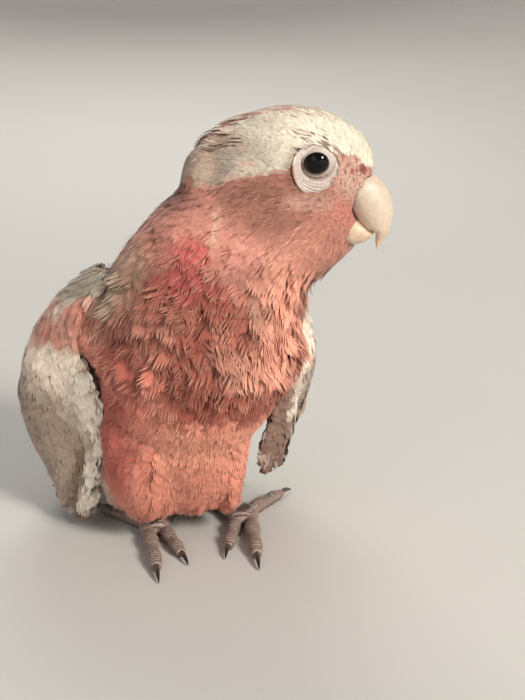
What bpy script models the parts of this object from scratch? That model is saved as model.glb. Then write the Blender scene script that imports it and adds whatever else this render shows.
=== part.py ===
"""A galah standing on its own feet, life size, still, with its head turned to its left.

The bird faces -Y, its left side is +X and the floor is z = 0. Every part is a closed solid whose surface
is the outside of the plumage, and neighbours keep a gap of 0.3 mm. Lengths are in metres.
"""

import math

import bmesh
import bpy
import numpy as np
from mathutils import Matrix, Vector

MM = 0.001
GAP = 0.3 * MM

# ---- driving dimensions -------------------------------------------------------------------------------
BODY_VOXEL = 1.7 * MM
BODY_TRIANGLES = 2250
SPINE_STEPS = 5

# Spine stations, tail root to throat: centre x, y, z, half width, half depth (mm) and facing (degrees,
# 0 ahead, positive to the bird's left).
SPINE = (
    (-12, 84, 20.5, 12, 4.5, 0),
    (-10, 64, 27, 16, 9, 0),
    (-8, 49, 33, 20, 16, 0),
    (-6, 33, 41, 26, 24, 0),
    (-4, 14, 48, 31, 32, 0),
    (-2, 0, 62, 34, 35, 3),
    (1, -6, 82, 36, 35, 8),
    (7, -9, 98, 31, 32, 18),
    (15, -12, 112, 25, 27, 38),
    (21, -15, 125, 22, 24, 55),
)
# The belly between the legs and the feathers behind each leg: centres and radii (mm).
BELLY_MASSES = (
    ((-4, 0, 32), (24, 25, 24)),
    ((-24, 8, 24), (13, 15, 17)),
    ((11, 8, 24), (11, 15, 17)),
)

# The head has a frame of its own: forward, left and up from the point midway between the eyes.
HEAD_AT = Vector((38.4, -22, 135.7)) * MM
HEAD_FACING = math.radians(66)
# Masses of the head: centre and radii along forward, left, up (mm), and how far the back of each is
# raised (degrees).
HEAD_MASSES = (
    ((-10, 0, -2), (28.5, 19, 20), 0),
    ((-23, 0, -6), (20.5, 18.5, 17), -30),
    ((-3, 0, -19), (13.5, 15.5, 15.5), 0),
    ((8, 0, -5), (10.5, 11.5, 13), -20),
    ((4, 0, -26), (8, 8.5, 8), 0),
    ((-10, 0, -26), (18, 19, 15), 20),
)
HEAD_CUT = ((2, 0, -40), (0.655, 0, 0.757))
NECK_CUT = (Vector((3, -10, 99)) * MM, Vector((0, -0.28, 0.96)))

EYE_RADIUS = 5.2 * MM
EYE_AT = (0.2, 12.8, 0)

CREST_MASS = ((-30, 0, 8.3), (14, 8.5, 4.6), -27)

# Upper bill: the ridge is an arc about this centre, and each station pairs an angle on the arc with the
# point of the cutting edge below it and the half width there.
BILL_CENTRE = (8.6, -17.1)
BILL_RIDGE = 15.9
UPPER_BILL = (
    (80, (3.0, -7.5), 7.0),
    (52, (9.0, -13.0), 7.4),
    (30, (10.6, -16.0), 7.0),
    (8, (13.0, -19.6), 6.3),
    (-12, (15.8, -22.5), 5.0),
    (-25, (18.6, -23.4), 3.5),
    (-38, (18.8, -26.4), 2.1),
    (-48, (19.1, -29.0), 0.7),
)
# Lower bill: forward, up, half height and half width of each station.
LOWER_BILL = (
    (2.0, -23.5, 4.6, 5.6),
    (8.0, -24.0, 4.6, 5.8),
    (12.0, -24.8, 3.6, 5.4),
    (15.5, -25.0, 2.0, 4.2),
    (17.6, -24.6, 0.8, 2.6),
)
BILL_SIDES = 14
BALL_SEGMENTS = 14
BALL_RINGS = 8

# Wing: for each height from the shoulder to the clipped tips, the leading, middle and trailing points of
# the outer face (mm), for the right wing measured from the middle of the back.
WING_STATIONS = (
    ((-22, -12, 99), (-26, 14, 100), (-8, 30, 90)),
    ((-35, -12, 88), (-39, 16, 89), (-6, 36, 79)),
    ((-37, -5, 72), (-50, 24, 73), (-5, 44, 67)),
    ((-30, -3, 52), (-56, 28, 54), (-7, 54, 56)),
    ((-30, 1, 33), (-55, 32, 37), (-14, 66, 46)),
    ((-31, 5, 15), (-49, 32, 21), (-26, 68, 35)),
    ((-34, 8, 4.5), (-45, 27, 10), (-38, 56, 24)),
)
WING_GRID = (10, 14)
WING_THICK = 6.5 * MM
WING_EDGE = 0.15
RIGHT_WING_SHIFT = Vector((-6, 0, 0)) * MM
LEFT_WING_SHIFT = Vector((-7, -2, 11)) * MM

TAIL_ROOT = Vector((-8, 42, 30)) * MM
TAIL_TURN = math.radians(5)
TAIL_LENGTH = 140 * MM
TAIL_WIDTHS = (11, 15, 18, 21, 23.5, 25)
TAIL_THICK = (7.0, 4.2, 3.0, 2.2, 1.8, 1.5)
TAIL_CAMBER = (4.0, 3.4, 2.6, 1.8, 0.8, 0.0)
TAIL_REST = 14 * MM
TAIL_END_ROUND = 6 * MM
TAIL_GRID = (8, 12)

# Each foot: name, side, x of its pad, how far it is turned out (degrees) and its heel from the pad.
FEET = (
    ("right", -1, -17, 0, (2, 15, 15)),
    ("left", 1, 16, -13, (-9, 13, 11)),
)
THIGH_CENTRE = Vector((-4.5, -6, 27.5)) * MM
THIGH_SPREAD = 15.5 * MM
THIGH_RADII = Vector((14.5, 18, 19)) * MM
THIGH_TILT = math.radians(12)
SHANK_RADIUS = 3.1 * MM
ANKLE = Vector((0.0, 0.0, 5.5)) * MM
PAD_AT = Vector((0, 0, 3.3)) * MM
PAD_RADII = Vector((5.4, 6.2, 3.8)) * MM

# Toes: number, root from the pad's centre (outward, back), heading (degrees from ahead, outward
# positive), length and root radius in mm, and claw length.
TOES = (
    (3, (2.9, -3.6), 3, 29.0, 2.75, 9.5),
    (2, (-2.9, -3.6), -8, 20.5, 2.5, 8.0),
    (4, (3.2, 3.2), 146, 25.0, 2.55, 9.0),
    (1, (-2.8, 3.4), -150, 13.5, 2.35, 7.0),
)
TOE_SIDES = 8
TOE_RINGS = 7
TOE_TIP = 0.68
CLAW_RINGS = 4
CLAW_SIDES = 6

PINK = (0.70, 0.30, 0.27)
WHITE = (0.74, 0.68, 0.62)
GREY = (0.46, 0.44, 0.42)
DARK_GREY = (0.20, 0.19, 0.19)
BONE = (0.70, 0.64, 0.55)
HIDE = (0.24, 0.20, 0.19)
CLAW = (0.05, 0.045, 0.04)
EYE = (0.01, 0.008, 0.008)

bird = None


# ---- tools --------------------------------------------------------------------------------------------
def material(name, colour, roughness):
    found = bpy.data.materials.get(name)
    if found:
        return found
    made = bpy.data.materials.new(name)
    made.use_nodes = True
    shader = made.node_tree.nodes["Principled BSDF"]
    shader.inputs["Base Color"].default_value = (*colour, 1)
    shader.inputs["Roughness"].default_value = roughness
    shader.inputs["Metallic"].default_value = 0
    return made


def add_object(name, mesh, finish):
    obj = bpy.data.objects.new(name, mesh)
    bpy.context.scene.collection.objects.link(obj)
    mesh.materials.clear()
    mesh.materials.append(finish)
    mesh.shade_smooth()
    obj.parent = bird
    return obj


def mesh_of(bm, name):
    bmesh.ops.recalc_face_normals(bm, faces=bm.faces)
    mesh = bpy.data.meshes.new(name)
    bm.to_mesh(mesh)
    bm.free()
    return mesh


def catmull_rom(rows, steps):
    """The rows and steps - 1 more between each two, on a smooth curve through them."""
    rows = np.array(rows, float)
    padded = np.vstack([2 * rows[0] - rows[1], rows, 2 * rows[-1] - rows[-2]])
    found = []
    for i in range(1, len(padded) - 2):
        p0, p1, p2, p3 = padded[i - 1 : i + 3]
        for t in np.arange(steps) / steps:
            slope = (p2 - p0) * t + (2 * p0 - 5 * p1 + 4 * p2 - p3) * t**2
            found.append((2 * p1 + slope + (3 * p1 - p0 - 3 * p2 + p3) * t**3) / 2)
    return np.array(found + [rows[-1]])


def add_mass(bm, place, radii):
    """An ellipsoid: place is its position and turn, radii its half sizes along its own axes."""
    scale = Matrix.Diagonal((*radii, 1))
    bmesh.ops.create_icosphere(bm, subdivisions=3, radius=1, matrix=place @ scale)


def add_ball(bm, centre, radii):
    """A coarser ellipsoid, upright, for a piece that stays as it is."""
    place = Matrix.Translation(centre) @ Matrix.Diagonal((*radii, 1))
    bmesh.ops.create_uvsphere(bm, u_segments=BALL_SEGMENTS, v_segments=BALL_RINGS, radius=1, matrix=place)


def moulded(bm, name, voxel, passes, triangles):
    """The masses joined into one skin, with the creases between them filled and smoothed."""
    rough = bpy.data.objects.new(name, mesh_of(bm, name))
    bpy.context.scene.collection.objects.link(rough)
    remesh = rough.modifiers.new("Join", "REMESH")
    remesh.mode = "VOXEL"
    remesh.voxel_size = voxel
    smooth = rough.modifiers.new("Soften", "SMOOTH")
    smooth.factor = 0.5
    smooth.iterations = passes
    graph = bpy.context.evaluated_depsgraph_get()
    count = 2 * len(rough.evaluated_get(graph).data.polygons)
    thin = rough.modifiers.new("Thin", "DECIMATE")
    thin.ratio = min(1, triangles / count)
    thin.use_collapse_triangulate = True
    graph = bpy.context.evaluated_depsgraph_get()
    mesh = bpy.data.meshes.new_from_object(rough.evaluated_get(graph))
    bpy.data.objects.remove(rough)
    return mesh


def half_of(mesh, point, normal, name):
    """The part of a closed mesh on the side of the plane that normal points to, with its cut closed."""
    bm = bmesh.new()
    bm.from_mesh(mesh)
    everything = bm.verts[:] + bm.edges[:] + bm.faces[:]
    bmesh.ops.bisect_plane(
        bm, geom=everything, dist=1e-7, plane_co=point, plane_no=normal, clear_inner=True
    )
    bmesh.ops.holes_fill(bm, edges=[e for e in bm.edges if e.is_boundary])
    bmesh.ops.triangulate(bm, faces=[f for f in bm.faces if len(f.verts) > 4])
    return mesh_of(bm, name)


def loft(rings, name):
    """A closed tube through rings of points, each with the same count, with both ends capped."""
    bm = bmesh.new()
    loops = []
    for ring in rings:
        verts = [bm.verts.new(point) for point in ring]
        loops.append([bm.edges.new((a, b)) for a, b in zip(verts, verts[1:] + verts[:1], strict=True)])
    for lower, upper in zip(loops, loops[1:], strict=False):
        bmesh.ops.bridge_loops(bm, edges=lower + upper)
    bmesh.ops.contextual_create(bm, geom=loops[0])
    bmesh.ops.contextual_create(bm, geom=loops[-1])
    return mesh_of(bm, name)


def grown(obj, by=GAP):
    """A hidden copy of an object, larger by the gap all over, to cut its neighbours with."""
    graph = bpy.context.evaluated_depsgraph_get()
    mesh = bpy.data.meshes.new_from_object(obj.evaluated_get(graph))
    bm = bmesh.new()
    bm.from_mesh(mesh)
    bm.normal_update()
    moves = [(v, v.normal * by * 1.15) for v in bm.verts]
    for vert, move in moves:
        vert.co += move
    bm.to_mesh(mesh)
    bm.free()
    cutter = bpy.data.objects.new(obj.name + "_cutter", mesh)
    bpy.context.scene.collection.objects.link(cutter)
    cutter.hide_render = True
    cutter.display_type = "WIRE"
    cutter.parent = bird
    return cutter


def cut_by(obj, *cutters):
    for cutter in cutters:
        cut = obj.modifiers.new("Clear of " + cutter.name, "BOOLEAN")
        cut.operation = "DIFFERENCE"
        cut.solver = "EXACT"
        cut.object = cutter


# ---- trunk, neck and head -----------------------------------------------------------------------------
def head_frame():
    forward = Vector((math.sin(HEAD_FACING), -math.cos(HEAD_FACING), 0))
    left = Vector((math.cos(HEAD_FACING), math.sin(HEAD_FACING), 0))
    turn = Matrix((forward, left, Vector((0, 0, 1)))).transposed()
    return Matrix.Translation(HEAD_AT) @ turn.to_4x4()


def in_head(forward, left, up):
    return head_frame() @ (Vector((forward, left, up)) * MM)


def head_mass(bm, centre, radii, pitch):
    place = head_frame() @ Matrix.Translation(Vector(centre) * MM)
    tilt = Matrix.Rotation(math.radians(pitch), 4, "Y")
    add_mass(bm, place @ tilt, Vector(radii) * MM)


def add_spine(bm):
    """Overlapping ellipsoids along the spine, each square to it and turned to its facing."""
    rows = catmull_rom(SPINE, SPINE_STEPS)
    centres = rows[:, :3] * MM
    tangents = np.gradient(centres, axis=0)
    for centre, tangent, row in zip(centres, tangents, rows, strict=True):
        along = Vector(tangent).normalized()
        facing = math.radians(row[5])
        side = Vector((math.cos(facing), math.sin(facing), 0))
        side = (side - along * side.dot(along)).normalized()
        turn = Matrix((side, along.cross(side), along)).transposed().to_4x4()
        half_width, half_depth = row[3] * MM, row[4] * MM
        length = 0.7 * min(half_width, half_depth)
        add_mass(bm, Matrix.Translation(centre) @ turn, (half_width, half_depth, length))


def make_body():
    bm = bmesh.new()
    add_spine(bm)
    for centre, radii in BELLY_MASSES:
        add_mass(bm, Matrix.Translation(Vector(centre) * MM), Vector(radii) * MM)
    for mass in HEAD_MASSES:
        head_mass(bm, *mass)
    whole = moulded(bm, "body", BODY_VOXEL, 10, BODY_TRIANGLES)
    point = in_head(*HEAD_CUT[0])
    normal = (head_frame().to_3x3() @ Vector(HEAD_CUT[1])).normalized()
    low_point, low_normal = NECK_CUT[0], NECK_CUT[1].normalized()
    half_gap = GAP / 2
    head = half_of(whole, point + normal * half_gap, normal, "head")
    below = half_of(whole, point - normal * half_gap, -normal, "below")
    neck = half_of(below, low_point + low_normal * half_gap, low_normal, "neck")
    trunk = half_of(below, low_point - low_normal * half_gap, -low_normal, "trunk")
    pink, white = material("pink_plumage", PINK, 0.8), material("white_plumage", WHITE, 0.8)
    return add_object("head", head, white), add_object("neck", neck, pink), add_object("trunk", trunk, pink)


def make_eye(name, side):
    bm = bmesh.new()
    forward, out, up = EYE_AT
    add_ball(bm, in_head(forward, side * out, up), (EYE_RADIUS,) * 3)
    return add_object(name, mesh_of(bm, name), material("eye", EYE, 0.05))


def make_crest():
    bm = bmesh.new()
    centre, radii, pitch = CREST_MASS
    add_ball(bm, (0, 0, 0), Vector(radii) * MM)
    tilt = Matrix.Rotation(math.radians(pitch), 4, "Y")
    bm.transform(head_frame() @ Matrix.Translation(Vector(centre) * MM) @ tilt)
    return add_object("crest", mesh_of(bm, "crest"), material("white_plumage", WHITE, 0.8))


# ---- bill ---------------------------------------------------------------------------------------------
def bill_ring(outer, inner, half_width):
    """A ring between two points of the profile, rounded over the ridge and narrower at the inner edge."""
    middle, reach = (outer + inner) / 2, (outer - inner) / 2
    ring = []
    for angle in np.linspace(0, 2 * math.pi, BILL_SIDES, endpoint=False):
        along, across = math.cos(angle), math.sin(angle)
        flat = middle + reach * along
        width = half_width * math.copysign(abs(across) ** 0.8, across) * (1 - 0.12 * along)
        ring.append(in_head(flat.x, width, flat.y))
    return ring


def make_upper_bill():
    rings = []
    for angle, inner, half_width in UPPER_BILL:
        turn = math.radians(angle)
        outer = Vector(BILL_CENTRE) + BILL_RIDGE * Vector((math.cos(turn), math.sin(turn)))
        rings.append(bill_ring(outer, Vector(inner), half_width))
    return add_object("upper_bill", loft(rings, "upper_bill"), material("bill", BONE, 0.45))


def make_lower_bill():
    rings = []
    for forward, up, half_height, half_width in LOWER_BILL:
        outer = Vector((forward - 0.8, up - half_height))
        inner = Vector((forward + 0.8, up + half_height))
        rings.append(bill_ring(outer, inner, half_width))
    return add_object("lower_bill", loft(rings, "lower_bill"), material("bill", BONE, 0.45))


# ---- wings --------------------------------------------------------------------------------------------
def make_wing(name, side, shift):
    """The outer face runs through the stations, and the wall thins towards its free edges."""
    rows, columns = WING_GRID
    curves = catmull_rom(np.array(WING_STATIONS, float).reshape(len(WING_STATIONS), 9), 4)
    bm = bmesh.new()
    bmesh.ops.create_grid(bm, x_segments=columns, y_segments=rows, size=1)
    weights = bm.verts.layers.deform.verify()
    for vert in bm.verts:
        along, across = (vert.co.y + 1) / 2, (vert.co.x + 1) / 2
        place = along * (len(curves) - 1)
        i = min(int(place), len(curves) - 2)
        lead, middle, trail = (curves[i] + (curves[i + 1] - curves[i]) * (place - i)).reshape(3, 3)
        t = across
        point = lead * (1 - t) * (1 - 2 * t) + middle * 4 * t * (1 - t) + trail * t * (2 * t - 1)
        vert.co = Vector((-side * point[0], point[1], point[2])) * MM + shift
        rim = min(1, (1 - along) * 4, (1 - across) * 3, 0.45 + across * 4)
        vert[weights][0] = max(WING_EDGE, rim)
    bmesh.ops.recalc_face_normals(bm, faces=bm.faces)
    middle_face = max(bm.faces, key=lambda f: side * f.calc_center_median().x)
    if side * middle_face.normal.x < 0:
        bmesh.ops.reverse_faces(bm, faces=bm.faces)
    mesh = bpy.data.meshes.new(name)
    bm.to_mesh(mesh)
    bm.free()
    wing = add_object(name, mesh, material("grey_plumage", GREY, 0.8))
    wing.vertex_groups.new(name="thickness")
    wall = wing.modifiers.new("Wall", "SOLIDIFY")
    wall.thickness = WING_THICK
    wall.offset = -1
    wall.vertex_group = "thickness"
    wall.use_even_offset = False
    return wing


# ---- tail ---------------------------------------------------------------------------------------------
def make_tail():
    """A cambered fan that slopes down to the floor, where its end lies flat."""
    across_count, along_count = TAIL_GRID
    knots = np.linspace(0, 1, len(TAIL_WIDTHS))
    run = math.sqrt(TAIL_LENGTH**2 - TAIL_ROOT.z**2)
    place = Matrix.Translation((TAIL_ROOT.x, TAIL_ROOT.y, 0)) @ Matrix.Rotation(TAIL_TURN, 4, "Z")
    rings = []
    for s in np.linspace(0, 1, along_count + 1):
        half_width = np.interp(s, knots, TAIL_WIDTHS) * MM
        thick = np.interp(s, knots, TAIL_THICK) * MM
        camber = np.interp(s, knots, TAIL_CAMBER) * MM
        slope = max(0, 1 - s * TAIL_LENGTH / (TAIL_LENGTH - TAIL_REST))
        under = (TAIL_ROOT.z - thick / 2) * slope**1.15
        top, bottom = [], []
        for x in np.linspace(-1, 1, across_count + 1):
            y = s * run - TAIL_END_ROUND * s**4 * abs(x) ** 3
            z = under + camber * slope * (1 - x * x)
            body = thick * (1 - 0.65 * x**4)
            bottom.append((x * half_width, y, z))
            top.append((x * half_width, y, z + body))
        rings.append([place @ Vector(p) for p in bottom + top[::-1]])
    return add_object("tail", loft(rings, "tail"), material("tail_plumage", DARK_GREY, 0.75))


# ---- legs ---------------------------------------------------------------------------------------------
def make_thigh(name, side):
    bm = bmesh.new()
    add_ball(bm, (0, 0, 0), THIGH_RADII)
    place = Matrix.Translation(THIGH_CENTRE + Vector((side * THIGH_SPREAD, 0, 0)))
    bm.transform(place @ Matrix.Rotation(THIGH_TILT, 4, "X"))
    return add_object(name, mesh_of(bm, name), material("pink_plumage", PINK, 0.8))


def ring_round(centre, tangent, half_width, half_height, sides, floor=None):
    side = tangent.cross(Vector((0, 0, 1))).normalized()
    up = side.cross(tangent).normalized()
    ring = []
    for angle in np.linspace(0, 2 * math.pi, sides, endpoint=False):
        point = centre + side * half_width * math.cos(angle) + up * half_height * math.sin(angle)
        if floor is not None:
            point.z = max(point.z, floor)
        ring.append(point)
    return ring


def make_shank(name, foot, heel):
    line = [foot + ANKLE.lerp(heel, t) for t in np.linspace(0, 1, 5)]
    tangent = (heel - ANKLE).normalized()
    rings = [ring_round(p, tangent, SHANK_RADIUS, SHANK_RADIUS, TOE_SIDES) for p in line]
    return add_object(name, loft(rings, name), material("hide", HIDE, 0.7))


def make_pad(name, foot):
    """The ball of the foot, flat where it stands."""
    bm = bmesh.new()
    add_ball(bm, foot + PAD_AT, PAD_RADII)
    for vert in bm.verts:
        vert.co.z = max(vert.co.z, 0)
    return add_object(name, mesh_of(bm, name), material("hide", HIDE, 0.7))


def toe_path(foot, side, root, heading):
    turn = math.radians(heading)
    ahead = Vector((side * math.sin(turn), -math.cos(turn), 0))
    start = foot + Vector((side * root[0], root[1], 0)) * MM
    return start, ahead


def make_toe(name, foot, side, root, heading, length, radius):
    """Flat underneath, thickest at its root and at the pads under its joints."""
    start, ahead = toe_path(foot, side, root, heading)
    rings = []
    for t in np.linspace(0, 1, TOE_RINGS):
        swell = 1 + 0.07 * math.cos(2 * math.pi * t * 2.5)
        half = radius * (1 - (1 - TOE_TIP) * t) * swell * MM
        centre = start + ahead * t * length * MM + Vector((0, 0, half * 0.92))
        rings.append(ring_round(centre, ahead, half, half, TOE_SIDES, floor=0))
    return add_object(name, loft(rings, name), material("hide", HIDE, 0.7))


def make_claw(name, foot, side, root, heading, length, radius, claw):
    """A tapering hook that leaves the toe level and turns down almost to the floor."""
    start, ahead = toe_path(foot, side, root, heading)
    base = radius * TOE_TIP * 0.62 * MM
    centre = start + ahead * (length * MM + GAP) + Vector((0, 0, radius * TOE_TIP * 1.05 * MM))
    drop = centre.z - 0.5 * MM
    rings = []
    for t in np.linspace(0, 1, CLAW_RINGS):
        along = ahead * claw * MM * (0.92 * t)
        fall = Vector((0, 0, -drop * t**2.2 + 0.5 * MM * math.sin(math.pi * t)))
        half = base * (1 - 0.84 * t)
        tangent = (ahead * claw * MM - Vector((0, 0, 2 * drop * t))).normalized() if t else ahead
        rings.append(ring_round(centre + along + fall, tangent, half * 0.8, half, CLAW_SIDES))
    return add_object(name, loft(rings, name), material("claw", CLAW, 0.4))


def make_leg(trunk, word, side, foot_x, turn, heel):
    foot = Vector((foot_x, 0, 0)) * MM
    thigh = make_thigh("thigh_" + word, side)
    pad = make_pad("foot_" + word, foot)
    shank = make_shank("shank_" + word, foot, Vector(heel) * MM)
    thigh_cutter, shank_cutter, pad_cutter = grown(thigh), grown(shank), grown(pad)
    cut_by(trunk, thigh_cutter, shank_cutter)
    cut_by(shank, thigh_cutter, pad_cutter)
    for number, root, heading, length, radius, claw in TOES:
        heading += turn
        toe = make_toe(f"toe_{word}_{number}", foot, side, root, heading, length, radius)
        cut_by(toe, pad_cutter)
        make_claw(f"claw_{word}_{number}", foot, side, root, heading, length, radius, claw)
    return thigh_cutter


def stand_on_origin():
    """Moves the bird sideways so that the middle of its box is over the origin."""
    graph = bpy.context.evaluated_depsgraph_get()
    corners = []
    for obj in bird.children:
        if not obj.hide_render:
            shape = obj.evaluated_get(graph)
            corners += [shape.matrix_world @ Vector(c) for c in shape.bound_box]
    low = Vector(map(min, *corners))
    high = Vector(map(max, *corners))
    bird.location = Vector((-(low.x + high.x) / 2, -(low.y + high.y) / 2, -low.z))


def main():
    global bird
    for obj in list(bpy.data.objects):
        bpy.data.objects.remove(obj)
    bird = bpy.data.objects.new("bird", None)
    bpy.context.scene.collection.objects.link(bird)

    head, neck, trunk = make_body()
    body_cutters = [grown(trunk), grown(neck)]
    eyes = [make_eye("eye_right", -1), make_eye("eye_left", 1)]
    upper, lower, crest = make_upper_bill(), make_lower_bill(), make_crest()
    cut_by(lower, grown(upper))
    cut_by(head, *[grown(part) for part in (*eyes, upper, lower, crest)])
    thigh_cutters = [make_leg(trunk, *foot) for foot in FEET]
    tail = make_tail()
    cut_by(tail, body_cutters[0])
    cut_by(make_wing("wing_right", -1, RIGHT_WING_SHIFT), *body_cutters, thigh_cutters[0])
    cut_by(make_wing("wing_left", 1, LEFT_WING_SHIFT), *body_cutters, thigh_cutters[1])
    stand_on_origin()


main()
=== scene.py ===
import itertools
import math

import bmesh
import bpy
import numpy as np
from mathutils import Matrix, Vector
from mathutils.bvhtree import BVHTree
from mathutils.kdtree import KDTree


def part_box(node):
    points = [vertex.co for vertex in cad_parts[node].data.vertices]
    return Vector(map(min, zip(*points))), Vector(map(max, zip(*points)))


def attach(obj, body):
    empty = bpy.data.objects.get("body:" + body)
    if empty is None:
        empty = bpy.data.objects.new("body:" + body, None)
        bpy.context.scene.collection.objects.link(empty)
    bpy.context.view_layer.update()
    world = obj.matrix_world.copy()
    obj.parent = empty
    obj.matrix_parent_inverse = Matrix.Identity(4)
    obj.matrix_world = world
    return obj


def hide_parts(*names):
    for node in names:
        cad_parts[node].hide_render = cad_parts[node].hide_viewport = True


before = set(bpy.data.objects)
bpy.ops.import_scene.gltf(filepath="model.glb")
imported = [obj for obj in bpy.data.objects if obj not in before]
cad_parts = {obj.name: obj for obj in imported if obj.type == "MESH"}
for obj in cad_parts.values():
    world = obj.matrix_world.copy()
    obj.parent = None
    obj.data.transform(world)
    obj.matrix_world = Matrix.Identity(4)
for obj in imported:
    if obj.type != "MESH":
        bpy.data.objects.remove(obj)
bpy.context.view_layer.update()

mm = 0.001
rng = np.random.default_rng(20)


# where things are: the bird's own axes stand on the floor between its feet, the head has axes of its own
def middle(node):
    low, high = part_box(node)
    return (low + high) / 2


padMiddle = (middle("foot_right") + middle("foot_left")) / 2
standing = Vector((padMiddle.x + 0.5 * mm, padMiddle.y, 0))
headLeft = (middle("eye_left") - middle("eye_right")).normalized()
headUp = Vector((0, 0, 1))
headForward = headLeft.cross(headUp)
headCentre = (middle("eye_left") + middle("eye_right")) / 2 - headForward * 0.2 * mm
headAxes = np.array([headForward, headLeft, headUp]).T


def inBird(points):
    return (points - np.array(standing)) / mm


def inHead(points):
    return (points - np.array(headCentre)) @ headAxes / mm


def fromBird(x, y, z):
    return standing + Vector((x, y, z)) * mm


def fromHead(forward, left, up):
    return headCentre + (headForward * forward + headLeft * left + headUp * up) * mm


# number tools
def unit(vectors):
    return vectors / np.maximum(np.linalg.norm(vectors, axis=-1, keepdims=True), 1e-12)


def dot(a, b):
    return np.sum(a * b, axis=-1, keepdims=True)


def ramp(values, start, end):
    t = np.clip((values - start) / (end - start), 0, 1)
    return t * t * (3 - 2 * t)


softEdge = (0.45, 1.15)  # where a soft ellipsoid fades, as shares of its radii


def near(points, centre, radii):
    # 1 at the centre of a soft ellipsoid, 0 outside it
    away = np.linalg.norm((points - np.array(centre)) / np.array(radii), axis=-1)
    return 1 - ramp(away, *softEdge)


def mixed(base, *layers):
    # each layer is a mask from 0 to 1 and the value that it brings in
    for mask, value in layers:
        mask = np.asarray(mask)
        if np.ndim(base) > mask.ndim:
            mask = mask[..., None]
        base = base * (1 - mask) + value * mask
    return base


def paint(red, green, blue):
    # a display colour as the linear values that a shader takes
    values = np.array((red, green, blue)) / 255
    return np.where(values < 0.04045, values / 12.92, ((values + 0.055) / 1.055) ** 2.4)


def noise(points, size, seed=0):
    # soft lumps of about a size, from -1 to 1
    cell = points / size + seed * 19.7
    base = np.floor(cell)
    part = cell - base
    part = part * part * (3 - 2 * part)
    total = 0
    for corner in itertools.product((0, 1), repeat=3):
        value = np.sin((base + corner) @ np.array((127.1, 311.7, 74.7))) * 43758.5453
        total = total + (value - np.floor(value)) * np.prod(np.where(corner, part, 1 - part), axis=-1)
    return total * 2 - 1


def curveThrough(rows, steps):
    # Catmull-Rom through the rows
    rows = np.array(rows, float)
    padded = np.vstack([2 * rows[0] - rows[1], rows, 2 * rows[-1] - rows[-2]])
    found = []
    for i in range(1, len(padded) - 2):
        a, b, c, d = padded[i - 1 : i + 3]
        for t in np.arange(steps) / steps:
            slope = (c - a) * t + (2 * a - 5 * b + 4 * c - d) * t**2
            found.append((2 * b + slope + (3 * b - a - 3 * c + d) * t**3) / 2)
    return np.array(found + [rows[-1]])


# mesh tools
def addPiece(name, mesh, material):
    piece = bpy.data.objects.new(name, mesh)
    bpy.context.scene.collection.objects.link(piece)
    mesh.materials.clear()
    mesh.materials.append(material)
    mesh.shade_smooth()
    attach(piece, "root")
    return piece


def meshOf(bm, name):
    bmesh.ops.recalc_face_normals(bm, faces=bm.faces)
    mesh = bpy.data.meshes.new(name)
    bm.to_mesh(mesh)
    bm.free()
    return mesh


def copyOf(nodes, grow):
    bm = bmesh.new()
    for node in nodes:
        bm.from_mesh(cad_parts[node].data)
    bmesh.ops.remove_doubles(bm, verts=bm.verts, dist=1e-6)
    bm.normal_update()
    for vert, move in [(v, v.normal * grow) for v in bm.verts]:
        vert.co += move
    return bm


def moulded(bm, voxel, passes):
    # joins what overlaps into one closed skin
    mesh = bpy.data.meshes.new("mould")
    bm.to_mesh(mesh)
    bm.free()
    rough = bpy.data.objects.new("mould", mesh)
    bpy.context.scene.collection.objects.link(rough)
    join = rough.modifiers.new("Join", "REMESH")
    join.mode = "VOXEL"
    join.voxel_size = voxel
    soften = rough.modifiers.new("Soften", "SMOOTH")
    soften.factor = 0.5
    soften.iterations = passes
    graph = bpy.context.evaluated_depsgraph_get()
    made = bpy.data.meshes.new_from_object(rough.evaluated_get(graph))
    bpy.data.objects.remove(rough)
    return made


def pointsOf(mesh):
    points = np.empty(len(mesh.vertices) * 3)
    mesh.vertices.foreach_get("co", points)
    return points.reshape(-1, 3)


def normalsOf(mesh):
    normals = np.empty(len(mesh.vertices) * 3)
    mesh.vertex_normals.foreach_get("vector", normals)
    return normals.reshape(-1, 3)


def surfaceOf(mesh):
    mesh.calc_loop_triangles()
    faces = np.empty(len(mesh.loop_triangles) * 3, int)
    mesh.loop_triangles.foreach_get("vertices", faces)
    faces = faces.reshape(-1, 3)
    points, normals = pointsOf(mesh), normalsOf(mesh)
    corners = points[faces]
    area = np.linalg.norm(np.cross(corners[:, 1] - corners[:, 0], corners[:, 2] - corners[:, 0]), axis=1) / 2
    tree = BVHTree.FromPolygons(points.tolist(), faces.tolist())
    return {"tree": tree, "corners": corners, "area": area, "facing": unit(normals[faces].sum(axis=1))}


def settle(surface, points):
    # the nearest places on a surface, and which way it faces there
    find = surface["tree"].find_nearest
    found = [find(point) for point in points.tolist()]
    places = np.array([hit[0][:] for hit in found])
    return places, surface["facing"][[hit[2] for hit in found]]


tries = 2.6  # places tried for each square of the gap's own size


def evenly(gap):
    # the same gap, in millimetres, everywhere
    return lambda points: np.full(len(points), gap * mm)


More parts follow.
